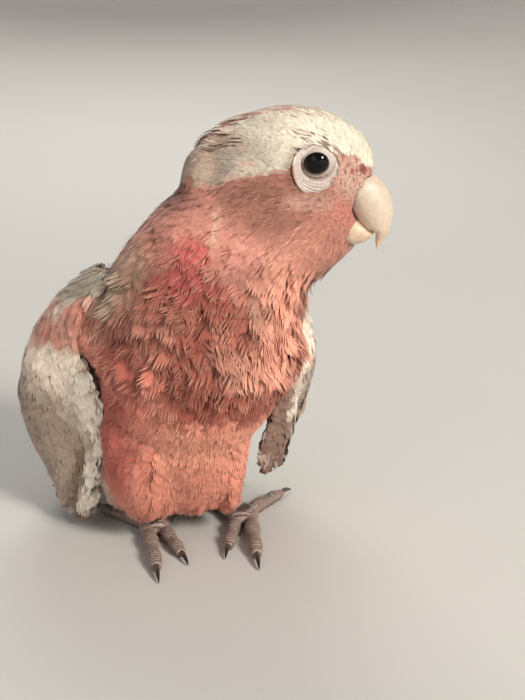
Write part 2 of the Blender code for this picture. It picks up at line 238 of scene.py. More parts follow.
def scatter(surface, spacing, keep):
    # places spread evenly over a surface, where keep says so; spacing gives the gap at each place
    closest = spacing(surface["corners"].mean(axis=1))
    chance = surface["area"] / closest**2
    count = int(chance.sum() * tries)
    picked = rng.choice(len(chance), count, p=chance / chance.sum())
    a, b = rng.random((2, count, 1))
    flip = a + b > 1
    a, b = np.where(flip, 1 - a, a), np.where(flip, 1 - b, b)
    corners = surface["corners"][picked]
    places = corners[:, 0] + a * (corners[:, 1] - corners[:, 0]) + b * (corners[:, 2] - corners[:, 0])
    facing = surface["facing"][picked]
    wanted = keep(places, facing)
    places, facing, gaps = places[wanted], facing[wanted], closest[picked][wanted]
    tree = KDTree(len(places))
    for i, place in enumerate(places.tolist()):
        tree.insert(place, i)
    tree.balance()
    free = np.ones(len(places), bool)
    for i, place in enumerate(places.tolist()):
        if free[i]:
            for _, other, _ in tree.find_range(place, gaps[i]):
                if other > i:
                    free[other] = False
    return places[free], facing[free]


def meshFromArrays(name, points, faces, colours, vane, bake):
    mesh = bpy.data.meshes.new(name)
    mesh.vertices.add(len(points))
    mesh.vertices.foreach_set("co", points.astype(np.float32).ravel())
    mesh.loops.add(faces.size)
    mesh.loops.foreach_set("vertex_index", faces.astype(np.int32).ravel())
    mesh.polygons.add(len(faces))
    mesh.polygons.foreach_set("loop_start", np.arange(0, faces.size, 3, dtype=np.int32))
    mesh.update(calc_edges=True)
    paintPoints(mesh, colours)
    for title, places in (("OFBake", bake), ("Vane", vane)):
        layer = mesh.uv_layers.new(name=title)
        layer.uv.foreach_set("vector", places[faces.ravel()].astype(np.float32).ravel())
    return mesh


def paintPoints(mesh, colours):
    colours = np.clip(colours, 0, 1)
    whole = np.concatenate([colours, np.ones((len(colours), 1))], axis=1)
    layer = mesh.attributes.new("coat", "FLOAT_COLOR", "POINT")
    layer.data.foreach_set("color", whole.astype(np.float32).ravel())


# the lie of the coat: it runs from the bill over the head, then along the back of this line to the tail
backbone = curveThrough(
    ((24, -17, 130), (15, -13, 112), (5, -8, 95), (-2, 0, 66), (-6, 26, 43), (-10, 64, 27), (-12, 100, 18)), 9
)
backboneWay = unit(np.gradient(backbone, axis=0))
backboneReach = 150  # square millimetres over which the line's ways are averaged
skullMiddle = (-10, 0, -8)
partingAtBill = (14, 0, -10)


def alongBackbone(bird):
    gaps = np.linalg.norm(bird[:, None] - backbone[None], axis=2)
    weight = np.exp(-(gaps**2 - gaps.min(axis=1, keepdims=True) ** 2) / backboneReach)
    return unit(weight @ backboneWay), gaps.argmin(axis=1) / (len(backbone) - 1)


def headShare(points, start=26, end=60):
    # 1 on the head, down to 0 where the neck takes over
    return 1 - ramp(np.linalg.norm(inHead(points) - np.array(skullMiddle), axis=1), start, end)


def faceShare(points, start):
    # 1 round the root of the bill, 0 from a distance of start millimetres on
    return ramp(np.linalg.norm(inHead(points) - np.array(partingAtBill), axis=1), start, 9)


def lieOfBody(points, facing):
    way, _ = alongBackbone(inBird(points))
    head = inHead(points)
    back = unit(head - np.array(partingAtBill))
    back[:, 2] -= 0.25 * ramp(-head[:, 0], 0, 25) * ramp(head[:, 2], 4, -8)
    way = mixed(way, (headShare(points), back @ headAxes.T))
    return aroundEye(points, way)


def eyeGap(points):
    # 1 on the rim of the bare skin round either eye, less inside it
    head = inHead(points)
    across = (head[:, 0] - eyeRing["middle"][0]) / eyeRing["reach"][0]
    high = (head[:, 2] - eyeRing["middle"][1]) / eyeRing["reach"][1]
    away = np.hypot(across, high)
    return np.where(np.abs(head[:, 1]) > 9, away, 9), across, high


def aroundEye(points, way):
    # the lie turned so that no feather runs into the bare skin
    away, across, high = eyeGap(points)
    outward = np.stack([across, np.zeros_like(across), high], axis=1)
    outward = unit(outward) @ headAxes.T
    inwards = np.minimum(dot(way, outward), 0)
    return way - outward * inwards * (1 - ramp(away, 1.2, 1.9))[:, None]


# markings, shared by skin and coat
tones = {
    "crown": paint(240, 232, 214),
    "templeGreyShade": paint(198, 186, 170),
    "crownStreak": paint(156, 92, 84),
    "crest": paint(220, 172, 158),
    "crestStreak": paint(96, 44, 42),
    "brow": paint(120, 84, 76),
    "lore": paint(208, 168, 152),
    "loreSpot": paint(130, 48, 44),
    "underEye": paint(190, 147, 133),
    "cheek": paint(126, 83, 71),
    "cheekLine": paint(118, 70, 60),
    "throat": paint(180, 122, 108),
    "gape": paint(214, 134, 120),
    "lightStreak": paint(236, 204, 178),
    "nape": paint(116, 74, 64),
    "neck": paint(214, 149, 133),
    "rose": paint(202, 100, 98),
    "neckPale": paint(222, 168, 146),
    "breast": paint(206, 138, 120),
    # painted shade for the breast: the dark rose-brown of its hollows and of its side turned from the light
    "breastShade": paint(150, 76, 63),
    "breastBeige": paint(208, 172, 146),
    # painted light for the breast and collar on the side toward the lamp
    "breastPaintedLight": paint(254, 180, 156),
    "collarPaintedLight": paint(254, 182, 158),
    "flank": paint(208, 108, 97),
    "belly": paint(221, 150, 126),
    "thigh": paint(204, 128, 110),
    "mantle": paint(184, 170, 152),
    "rump": paint(204, 198, 188),
    "vent": paint(200, 172, 158),
    "down": paint(128, 66, 60),
    "greyDown": paint(96, 86, 78),
    # painted shade for the low back of the cap
    "capBack": paint(182, 158, 140),
    "featherTip": paint(246, 214, 184),
    "capTip": paint(250, 240, 224),
}
# the lower edge of the pale cap in the head's axes, as places forward and the heights there, and how far
# back the cap reaches
capEdge = (
    (-50, -40, -33, -25, -10, -7, 0, 7, 11, 14, 18),
    (-4.4, -7.6, -8.6, -5.4, -2.9, -1, 0, 2.6, 2.2, 0.5, -3.5),
)
capBack = -49

# soft patches of colour on the body: how strong, middle and radii in the bird's axes, tone and a factor on
# the tone; the dark breast patches and the darkened thigh patch are painted shade
underPatches = (
    (0.8, (-28, -23, 73), (8, 11, 11), "breastShade", 1),
    (0.5, (-24, -30, 84), (8, 14, 11), "breastShade", 1),
    (0.4, (-19, -24, 108), (8, 12, 12), "breastShade", 1),
    (0.5, (12, -37, 88), (7, 14, 9), "neckPale", 1),
    (0.7, (-8, -24, 27), (13, 10, 8), "thigh", 0.7),
    (0.85, (-8, -38, 80), (9, 14, 9), "breastShade", 1),
)
# the light breast and collar patches are painted light on the side toward the lamp, and the dark patch at the
# top of the breast is painted shade; the beige and rose patches are the plumage's own tones
overPatches = (
    (0.75, (-27, -16, 98), (15, 16, 16), "breastBeige", 1),
    (0.9, (22, -32, 76), (12, 18, 20), "breastPaintedLight", 1),
    (0.9, (23, -33, 98), (12, 15, 12), "collarPaintedLight", 1),
    (0.9, (-8, -33, 106), (8, 12, 7), "rose", 1),
    (0.9, (-12, -34, 98), (9, 14, 6), "rose", 1),
    (0.4, (-3, -39, 95), (6, 10, 5), "rose", 1),
    (0.7, (-1, -40, 91), (8, 9, 5), "breastShade", 1),
)
# the fold between the belly and the right thigh, as two soft ellipsoids in the bird's axes
thighFolds = (((-27, -16, 36), (4, 12, 5)), ((-23, -21, 28), (4, 12, 5)))


def patched(colour, bird, patches):
    for strength, centre, radii, tone, shade in patches:
        colour = mixed(colour, (strength * near(bird, centre, radii), tones[tone] * shade))
    return colour


def thighFold(bird):
    return sum(near(bird, centre, radii) for centre, radii in thighFolds)


def capMask(points):
    head = inHead(points)
    edge = np.interp(head[:, 0], *capEdge) + 0.9 * noise(points, 3 * mm, 5) + 0.4 * noise(points, 1.2 * mm, 6)
    back = capBack + 2 * noise(points, 5 * mm, 7)
    return ramp(head[:, 2] - edge, -0.8, 0.8) * ramp(head[:, 0] - back, -2.5, 2.5)


def plumageColour(points, facing):
    bird, head = inBird(points), inHead(points)
    side = np.stack([head[:, 0], head[:, 2]], axis=1)
    front, height = -bird[:, 1], bird[:, 2]
    patchy = noise(points, 7 * mm, 1)
    centre = ramp(height, 56, 62) * ramp(height, 104, 94) * ramp(front, 5, 20)
    centre = centre * ramp(bird[:, 0], 14, 2) * ramp(bird[:, 0], -26, -12)
    broad = noise(points, 12 * mm, 16)
    # the middle of the breast is darkened as painted shade, and the broad darker patches are painted shade
    # between clumps; the broad paler patches are the plumage's own tone
    colour = mixed(
        tones["breast"] + 0 * points,
        (0.75 * centre, tones["breastShade"]),
        (0.45 * ramp(broad, 0.1, 0.7), tones["neckPale"]),
        (0.5 * ramp(broad, -0.1, -0.7), tones["breastShade"] * 0.85),
    )
    # behind the thigh the flank's deeper rose is darkened further as painted shade
    shadeBehindThigh = ramp(bird[:, 0], -26, -31) * ramp(height, 64, 54) * ramp(height, 15, 28)
    shadeBehindThigh = shadeBehindThigh * ramp(front, -24, -4)
    colour = mixed(
        colour,
        (ramp(height, 84, 104), tones["neck"]),
        # a band at the base of the neck, on the side away from the light, darkened as painted shade
        (0.7 * ramp(height, 88, 94) * ramp(height, 104, 97) * ramp(bird[:, 0], 4, -6), tones["breastShade"]),
        (0.7 * ramp(height, 60, 44) * ramp(front, -5, 12), tones["belly"]),
        (0.5 * ramp(bird[:, 0], -14, -28) * ramp(height, 80, 62) * ramp(height, 25, 40), tones["flank"]),
        (0.85 * ramp(height, 38, 20), tones["thigh"]),
        (0.9 * shadeBehindThigh, tones["flank"] * 0.66),
    )
    colour = patched(colour, bird, underPatches)
    # a band of painted shadow on the belly under the overhanging breast, and painted shade in the fold
    # between the belly and the thigh
    shadowUnderLip = ramp(front, 8, 20) * ramp(height, 46.5, 49) * ramp(height, 64, 58)
    shadowUnderLip = shadowUnderLip * ramp(bird[:, 0], -22, -12)
    colour = mixed(
        colour,
        (0.9 * shadowUnderLip, tones["breastShade"] * 0.92),
        (0.5 * np.clip(thighFold(bird), 0, 1), tones["breastShade"]),
    )
    colour = patched(colour, bird, overPatches)
    colour = mixed(colour, (0.92 * near(head, (-44, 0, -14), (14, 22, 12)), tones["nape"]))
    # grey behind, from the base of the neck down
    grey = ramp(bird[:, 1] + 0.12 * (100 - height) + 3 * patchy, 6, 16) * ramp(height, 112, 100)
    shoulder = ramp(np.abs(bird[:, 0] + 2), 25, 31) * ramp(height, 82, 87) * ramp(height, 106, 99)
    shoulder = shoulder * np.where(bird[:, 0] < 0, ramp(front, 24, 14), ramp(front, 4, -4))
    colour = mixed(
        colour,
        (np.maximum(grey, 0.9 * shoulder), tones["mantle"]),
        (grey * ramp(bird[:, 1], 28, 46), tones["rump"]),
        (ramp(height, 36, 26) * ramp(bird[:, 1], 19, 32) * ramp(facing[:, 2], 0.2, -0.2), tones["vent"]),
    )
    # the head's own markings
    face = headShare(points, 26, 36)
    wavy = noise(head * np.array((0.18, 0.3, 1)) + 0.05 * head[:, :1], 1.5, 14)
    speckled = ramp(noise(points, 1.5 * mm, 9), 0.1, 0.5)
    colour = mixed(
        colour,
        (face, tones["throat"]),
        (0.85 * face * near(side, (-16, -14), (20, 13)) * (0.8 + 0.2 * wavy), tones["cheek"]),
        (0.8 * face * near(side, (-1, -13), (10, 4)), tones["underEye"]),
        (0.45 * near(side, (-31, -21), (2, 8)) * ramp(np.abs(head[:, 1]), 10, 16), tones["lightStreak"]),
        (0.6 * face * near(side, (11, -15), (6, 6)), tones["gape"]),
        (face * near(side, (12, -5), (8, 10)), tones["lore"]),
        (0.8 * face * near(side, (13.5, 0), (5, 7)) * speckled, tones["loreSpot"] * 1.6),
        (0.85 * face * near(side, (14.6, -2.2), (1.5, 2.2)), tones["loreSpot"]),
    )
    cap = mixed(
        tones["crown"] + 0 * points,
        # the lower rear of the cap is a greyer cream, darkened further as painted shade
        (ramp(head[:, 0], -6, -20) * ramp(head[:, 2], 12, 5), tones["templeGreyShade"]),
        (0.35 * ramp(patchy, 0.1, 0.8) * ramp(head[:, 0], 0, -14), tones["greyDown"]),
        (0.25 * ramp(head[:, 0], -20, -30) * ramp(head[:, 2], 10, 2), tones["greyDown"]),
    )
    streaked = noise(head * np.array((0.16, 1, 1)), 1.6, 15)
    cap = mixed(
        cap,
        (0.55 * ramp(streaked, 0.15, 0.6) * ramp(head[:, 0], 12, -30), tones["crest"]),
        (0.7 * ramp(head[:, 0], -22, -34) * ramp(head[:, 2], 4, 9), tones["crest"] * 0.85),
        # the low back of the cap darkened as painted shade
        (0.8 * ramp(head[:, 0], -27, -36) * ramp(head[:, 2], 9, 4), tones["capBack"]),
    )
    colour = mixed(colour, (capMask(points), cap))
    # a dark line over the eye, painted shade in the crease of the brow
    away, _, high = eyeGap(points)
    overEye = ramp(high, 0.35, 0.6) * near(away[:, None], (0.90,), (0.07,))
    colour = mixed(colour, (0.8 * overEye, tones["brow"]))
    return colour * (1 + 0.10 * patchy + 0.07 * noise(points, 2.5 * mm, 3))[:, None]


# the ruffled breast is a patchwork of clumps, each with a middle of its own: start, end and gap across and up
clumpForm = {
    "across": (-34, 40, 8.5),
    "up": (54, 106, 7.5),
    "stray": 2.8,
    "lean": 0.45,
    "half": 4.2,
    "high": 8.0,
}
clumps = np.array(list(itertools.product(np.arange(*clumpForm["across"]), np.arange(*clumpForm["up"]))))
clumps = clumps + rng.uniform(-clumpForm["stray"], clumpForm["stray"], clumps.shape)
clumpLean = rng.uniform(-clumpForm["lean"], clumpForm["lean"], len(clumps))


def clumpAt(points):
    # how far across its clump a place is and how far down it, and which way the clump leans
    bird = inBird(points)
    across = bird[:, :1] + 0.25 * bird[:, 1:2] - clumps[:, 0]
    above = bird[:, 2:] - clumps[:, 1] + 1.5 * noise(points, 5 * mm, 51)[:, None]
    nearest = (across**2 + 1.2 * above**2).argmin(axis=1)
    rows = np.arange(len(points))
    below = np.clip(0.5 - above[rows, nearest] / clumpForm["high"], 0, 1)
    return across[rows, nearest] / clumpForm["half"], below, clumpLean[nearest]


def relief(points):
    # clumps and folds of the ruffled coat, as how far it stands out there
    bird = inBird(points)
    front = ramp(-bird[:, 1], 8, 26)
    breast = front * ramp(bird[:, 2], 58, 66) * ramp(bird[:, 2], 106, 94)
    stretched = points * np.array((1, 1, 0.75))
    clump = np.abs(noise(stretched, 8 * mm, 11)) * 2 - 0.6
    fine = noise(stretched, 4.5 * mm, 12)
    rise = breast * (1.1 * clump + 0.6 * fine)
    rise = rise + (1 - headShare(points, 24, 34)) * (1 - breast) * 0.35 * noise(points, 7 * mm, 13)
    # the breast hangs over the belly
    lip = front * (2.0 * near(bird[:, 2:], (68,), (8,)) - 1.3 * near(bird[:, 2:], (54,), (6,)))
    lip = lip + 0.8 * front * ramp(bird[:, 2], 48.5, 46.5) * ramp(bird[:, 2], 34, 42)
    return (rise + lip - 1.2 * thighFold(bird)) * mm


# what a bunch of feathers has unless its own values say otherwise; lengths in millimetres
plainForm = {
    "curl": 2,
    "splay": 0.15,
    "dome": 0.25,
    "uneven": 0.03,
    "blunt": 4,
    "full": 1.5,
    "thick": 0.09,
}
laySteps = 4
overTheEdge = 0.3  # the share of a step that is kept where the surface turns away under a feather


def layFeathers(surface, places, facing, lie, form):
    # the line of each feather: its root lies under the surface and its tip on top of it
    length, lean = form["length"] * mm, form["lean"]
    line, up, way = [], [], []
    spot = places
    for step in range(laySteps + 1):
        share = step / laySteps
        ahead = lie(spot, facing)
        ahead = unit(ahead - facing * dot(ahead, facing))
        across = np.cross(ahead, facing)
        ahead = ahead * np.cos(lean)[:, None] + across * np.sin(lean)[:, None]
        under = form["depth"] * (1 - share) ** 1.4
        height = (form["lift"] * share**form["curl"] - under) * mm
        height = height + form["relief"](spot) * share**0.5
        line.append(spot + facing * height[:, None])
        up.append(facing)
        way.append(ahead)
        if step < laySteps:
            last = spot
            free = last + ahead * (length / laySteps)[:, None]
            spot, turned = settle(surface, free)
            over = dot(turned, facing) < 0.45
            spot = np.where(over, last + overTheEdge * (free - last), spot)
            facing = np.where(over, facing, turned)
    return tuple(np.array(rows).transpose(1, 0, 2) for rows in (line, up, way))


def alongLine(line, share):
    # the point at each share of each line, from 0 at its start to 1 at its end
    place = np.clip(share, 0, 0.9999) * (line.shape[1] - 1)
    index = place.astype(int)
    part = (place - index)[..., None]
    rows = np.arange(len(line)).reshape(-1, *[1] * (share.ndim - 1))
    return line[rows, index] * (1 - part) + line[rows, index + 1] * part


bakePatch = 0.003  # the size of each feather's patch on the OFBake map


def featherMesh(name, laid, form, colour, tipColour, rootColour, bakePlace):
    # each feather is a fan of flat tapering barb locks, and each lock is closed by a keel under it
    line, up, way = laid
    count, locks = len(line), form["locks"]
    stations = np.array(form["stations"])
    rings = len(stations) - 1
    fan = (np.arange(locks) - (locks - 1) / 2) / max(1, (locks - 1) / 2)
    spread = fan[None] + rng.normal(0, 0.08, (count, locks))
    reach = 1 - form["round"] * fan[None] ** 2 - rng.random((count, locks)) * form["fray"]
    share = stations[None, None] * reach[..., None]
    share = np.broadcast_to(share, (count, locks, rings + 1))
    middleLine = alongLine(line, share)
    upward = unit(alongLine(up, share))
    sideways = unit(np.cross(alongLine(way, share), upward))
    opened = (0.35 + 0.65 * ramp(share, 0, 0.55))[..., None]
    halfWidth = (form["width"] * mm)[:, None, None, None]
    shift = spread[..., None, None] * halfWidth * opened
    shift = shift + spread[..., None, None] * halfWidth * form["splay"] * share[..., None] ** 2
    dome = -form["dome"] * (spread[..., None, None] ** 2) * halfWidth * opened
    layer = rng.normal(0, form["uneven"], (count, locks, 1, 1)) * mm
    centre = middleLine + sideways * shift + upward * (dome + layer)
    taper = (1 - stations ** form["blunt"])[None, None, :, None]
    half = halfWidth / locks * form["full"] * opened * taper
    thick = form["thick"] * mm * (0.4 + 0.6 * taper)
    left = centre - sideways * half
    right = centre + sideways * half
    keel = centre - upward * thick
    shell = np.stack([right, keel, left], axis=3)[:, :, :rings]
    tip = centre[:, :, rings:]
    points = np.concatenate([shell.reshape(count, locks, rings * 3, 3), tip], axis=2)
    each = rings * 3 + 1
    faces = [(0, 2, 1)]
    for ring in range(rings - 1):
        a = ring * 3
        for i, j in ((0, 1), (1, 2), (2, 0)):
            faces += [(a + i, a + j, a + 3 + j), (a + i, a + 3 + j, a + 3 + i)]
    last = rings * 3 - 3
    faces += [(last, last + 1, each - 1), (last + 1, last + 2, each - 1), (last + 2, last, each - 1)]
    starts = np.arange(count * locks) * each
    faces = (starts[:, None, None] + np.array(faces)[None]).reshape(-1, 3)
    # colour runs from the down at the root, over the vane, to the tip
    ringShare = np.concatenate([np.repeat(share[:, :, :rings], 3, axis=2), share[:, :, rings:]], axis=2)
    down = (1 - ramp(ringShare, 0.1, 0.62)) * form["downShare"]
    end = ramp(ringShare, 0.72, 1) * form["tipShare"]
    tint = 1 + rng.normal(0, form["vary"], (count, 1, 1))
    tint = tint * (1 + rng.normal(0, form["varyLock"], (count, locks, 1)))
    shade = colour[:, None, None, :] * (1 - end[..., None]) + tipColour[:, None, None, :] * end[..., None]
    shade = shade * (1 - down[..., None]) + rootColour[:, None, None, :] * down[..., None]
    shade = shade * tint[..., None]
    if "streak" in form:
        dark = (rng.random((count, locks)) < form["streak"][:, None])[..., None, None]
        shade = np.where(dark, form["streakColour"] * tint[..., None], shade)
    side = np.append(np.tile(np.array((1.0, 0.5, 0.0)), rings), 0.5)
    lane = (np.arange(locks)[:, None] + side[None]) / locks
    vane = np.stack([np.broadcast_to(lane[None], ringShare.shape), ringShare], axis=3)
    bake = bakePlace[:, None, None, :] + (vane - 0.5) * bakePatch
    mesh = meshFromArrays(
        name, points.reshape(-1, 3), faces, shade.reshape(-1, 3), vane.reshape(-1, 2), bake.reshape(-1, 2)
    )
    # a lock's flat top is shaded apart from its keel
    ends = np.empty(len(mesh.edges) * 2, np.int32)
    mesh.edges.foreach_get("vertices", ends)
    role = ends.reshape(-1, 2) % each
    role = np.where(role == each - 1, 3, role % 3)
    margin = (role[:, 0] == role[:, 1]) | (role == 3).any(axis=1)
    sharp = mesh.attributes.new("sharp_edge", "BOOLEAN", "EDGE")
    sharp.data.foreach_set("value", margin & (role != 1).all(axis=1))
    return mesh


def unwrapBody(points):
    # round the backbone across, along it upwards
    bird = inBird(points)
    way, along = alongBackbone(bird)
    spot = backbone[(along * (len(backbone) - 1)).astype(int)]
    out = bird - spot
    side = unit(np.cross(way, np.array((0, 1, 0.3))))
    front = np.cross(side, way)
    turn = np.arctan2(dot(out, side)[:, 0], dot(out, front)[:, 0])
    head = inHead(points)
    top = np.where(along < 0.01, 0.25 * ramp(head[:, 2], -30, 20), 0.25 + 0.72 * along)
    return np.stack([0.5 + turn / math.pi * 0.49, 0.01 + top * 0.98], axis=1)


# materials
def newGroup(name, inputs, outputs):
    group = bpy.data.node_groups.new(name, "ShaderNodeTree")
    for title, kind, value in inputs:
        socket = group.interface.new_socket(title, in_out="INPUT", socket_type=kind)
        socket.default_value = value
    for title, kind in outputs:
        group.interface.new_socket(title, in_out="OUTPUT", socket_type=kind)
    return group, group.nodes.new("NodeGroupInput"), group.nodes.new("NodeGroupOutput")


def makeMottle():
    # fine uneven colour and height, in the object's own coordinates
    group, given, made = newGroup(
        "mottle",
        (("Colour", "NodeSocketColor", (0.5, 0.5, 0.5, 1)), ("Scale", "NodeSocketFloat", 600.0),
         ("Amount", "NodeSocketFloat", 0.2)),
        (("Colour", "NodeSocketColor"), ("Height", "NodeSocketFloat")),
    )
    nodes, links = group.nodes, group.links
    place = nodes.new("ShaderNodeTexCoord")
    cloud = nodes.new("ShaderNodeTexNoise")
    cloud.inputs["Detail"].default_value = 5
    cloud.inputs["Roughness"].default_value = 0.6
    stretch = nodes.new("ShaderNodeMapRange")
    stretch.inputs["From Min"].default_value = 0.3
    stretch.inputs["From Max"].default_value = 0.7
    span = nodes.new("ShaderNodeMath")
    span.operation = "MULTIPLY_ADD"
    span.inputs[1].default_value = 2
    span.inputs[2].default_value = -1
    gain = nodes.new("ShaderNodeMath")
    gain.operation = "MULTIPLY_ADD"
    gain.inputs[2].default_value = 1
    shade = nodes.new("ShaderNodeVectorMath")
    shade.operation = "SCALE"
    links.new(place.outputs["Object"], cloud.inputs["Vector"])
    links.new(given.outputs["Scale"], cloud.inputs["Scale"])
    links.new(cloud.outputs["Fac"], stretch.inputs["Value"])
    links.new(stretch.outputs["Result"], span.inputs[0])
    links.new(span.outputs[0], gain.inputs[0])
    links.new(given.outputs["Amount"], gain.inputs[1])
    links.new(given.outputs["Colour"], shade.inputs[0])
    links.new(gain.outputs[0], shade.inputs["Scale"])
    links.new(shade.outputs[0], made.inputs["Colour"])
    links.new(cloud.outputs["Fac"], made.inputs["Height"])
    return group


def makeBarbs():
    # fine lines that leave a feather's shaft slanting towards its tip, from its Vane map
    group, given, made = newGroup(
        "barbs",
        (("Colour", "NodeSocketColor", (0.5, 0.5, 0.5, 1)), ("Lines", "NodeSocketFloat", 40.0),
         ("Slant", "NodeSocketFloat", 0.8), ("Amount", "NodeSocketFloat", 0.15)),
        (("Colour", "NodeSocketColor"), ("Height", "NodeSocketFloat")),
    )
    nodes, links = group.nodes, group.links

    def maths(operation, a, b=0.0):
        node = nodes.new("ShaderNodeMath")
        node.operation = operation
        for socket, value in zip(node.inputs, (a, b)):
            if isinstance(value, (int, float)):
                socket.default_value = value
            else:
                links.new(value, socket)
        return node.outputs[0]

    place = nodes.new("ShaderNodeUVMap")
    place.uv_map = "Vane"
    parts = nodes.new("ShaderNodeSeparateXYZ")
    links.new(place.outputs["UV"], parts.inputs[0])
    aside = maths("ABSOLUTE", maths("SUBTRACT", parts.outputs["X"], 0.5))
    along = maths("SUBTRACT", parts.outputs["Y"], maths("MULTIPLY", aside, given.outputs["Slant"]))
    turn = maths("MULTIPLY", maths("MULTIPLY", along, given.outputs["Lines"]), 2 * math.pi)
    wave = maths("SINE", turn)
    gain = maths("ADD", maths("MULTIPLY", wave, given.outputs["Amount"]), 1.0)
    shade = nodes.new("ShaderNodeVectorMath")
    shade.operation = "SCALE"
    links.new(given.outputs["Colour"], shade.inputs[0])
    links.new(gain, shade.inputs["Scale"])
    links.new(shade.outputs[0], made.inputs["Colour"])
    links.new(wave, made.inputs["Height"])
    return group


mottle, barbs = makeMottle(), makeBarbs()


def finish(name, form):
    material = bpy.data.materials.new(name)
    material.use_nodes = True
    nodes, links = material.node_tree.nodes, material.node_tree.links
    shader = nodes["Principled BSDF"]
    for socket, value in form["shader"].items():
        shader.inputs[socket].default_value = value
    if "colour" in form:
        source = nodes.new("ShaderNodeRGB")
        source.outputs[0].default_value = (*form["colour"], 1)
    else:
        source = nodes.new("ShaderNodeAttribute")
        source.attribute_name = "coat"
    colour, heights = source.outputs[0], []
    for group in (mottle, barbs):
        if group.name in form:
            effect = nodes.new("ShaderNodeGroup")
            effect.node_tree = group
            for socket, value in form[group.name].items():
                effect.inputs[socket].default_value = value
            links.new(colour, effect.inputs["Colour"])
            colour = effect.outputs["Colour"]
            heights.append(effect.outputs["Height"])
    links.new(colour, shader.inputs["Base Color"])
    normal = None
    for height, rise in zip(heights, form["rise"]):
        bump = nodes.new("ShaderNodeBump")
        bump.inputs["Distance"].default_value = rise * mm
        links.new(height, bump.inputs["Height"])
        if normal:
            links.new(normal, bump.inputs["Normal"])
        normal = bump.outputs["Normal"]
    if normal:
        links.new(normal, shader.inputs["Normal"])
    return material


finishes = {
    "softFeather": {
        "shader": {
            "Roughness": 0.82,
            "Specular IOR Level": 0.25,
            "Sheen Weight": 0.25,
            "Sheen Roughness": 0.4,
        },
        "mottle": {"Scale": 900.0, "Amount": 0.14},
        "rise": (0.05,),
    },
    "vaneFeather": {
        "shader": {"Roughness": 0.7, "Specular IOR Level": 0.3, "Sheen Weight": 0.12},
        "mottle": {"Scale": 500.0, "Amount": 0.10},
        "barbs": {"Lines": 60.0, "Slant": 0.5, "Amount": 0.10},
        "rise": (0.05, 0.05),
    },
    "hide": {
        "shader": {"Roughness": 0.62, "Specular IOR Level": 0.4},
        "mottle": {"Scale": 1400.0, "Amount": 0.25},
        "rise": (0.12,),
    },
    "billHorn": {
        "shader": {"Roughness": 0.42, "Subsurface Weight": 0.15, "Subsurface Scale": 0.002},
        "mottle": {"Scale": 420.0, "Amount": 0.12},
        "rise": (0.16,),
    },
    "claw": {
        "shader": {"Roughness": 0.35, "Coat Weight": 0.2},
        "mottle": {"Scale": 700.0, "Amount": 0.3},
        "rise": (0.08,),
    },
    "eyeball": {"shader": {"Roughness": 0.03, "IOR": 1.3}, "rise": ()},
}
finishes = {name: finish(name, form) for name, form in finishes.items()}
print("materials made")


# the eye and the bare skin round it: middle and reach of the skin's rim, and the lids' opening and its
# shift, are forward and up from the middle of the eye
eyeRing = {
    "middle": (0.9, -2.3),
    "reach": (9.2, 9.2),
    "opening": (3.95, 3.45),
    "shift": (-0.8, -0.7),
    "turn": 14,
    "ball": 5.2,
    "around": 100,
    "rows": 42,
    "clear": 0.15,
    "thick": 0.35,
    "skin": paint(206, 192, 184),
    # painted shade for the groove and wrinkles of the bare skin
    "foldShade": paint(140, 114, 106),
    "rim": paint(70, 56, 52),
    "pupil": np.array((0.002, 0.002, 0.002)),
    "iris": np.array((0.006, 0.004, 0.003)),
    "white": np.array((0.02, 0.016, 0.014)),
}


def eyeAxes(side):
    # forward, up and outward for one eye, which looks a little ahead
    turn = math.radians(eyeRing["turn"])
    ahead = headForward * math.cos(turn) - headLeft * side * math.sin(turn)
    out = headForward * math.sin(turn) + headLeft * side * math.cos(turn)
    return middle("eye_left" if side > 0 else "eye_right"), ahead, headUp, out


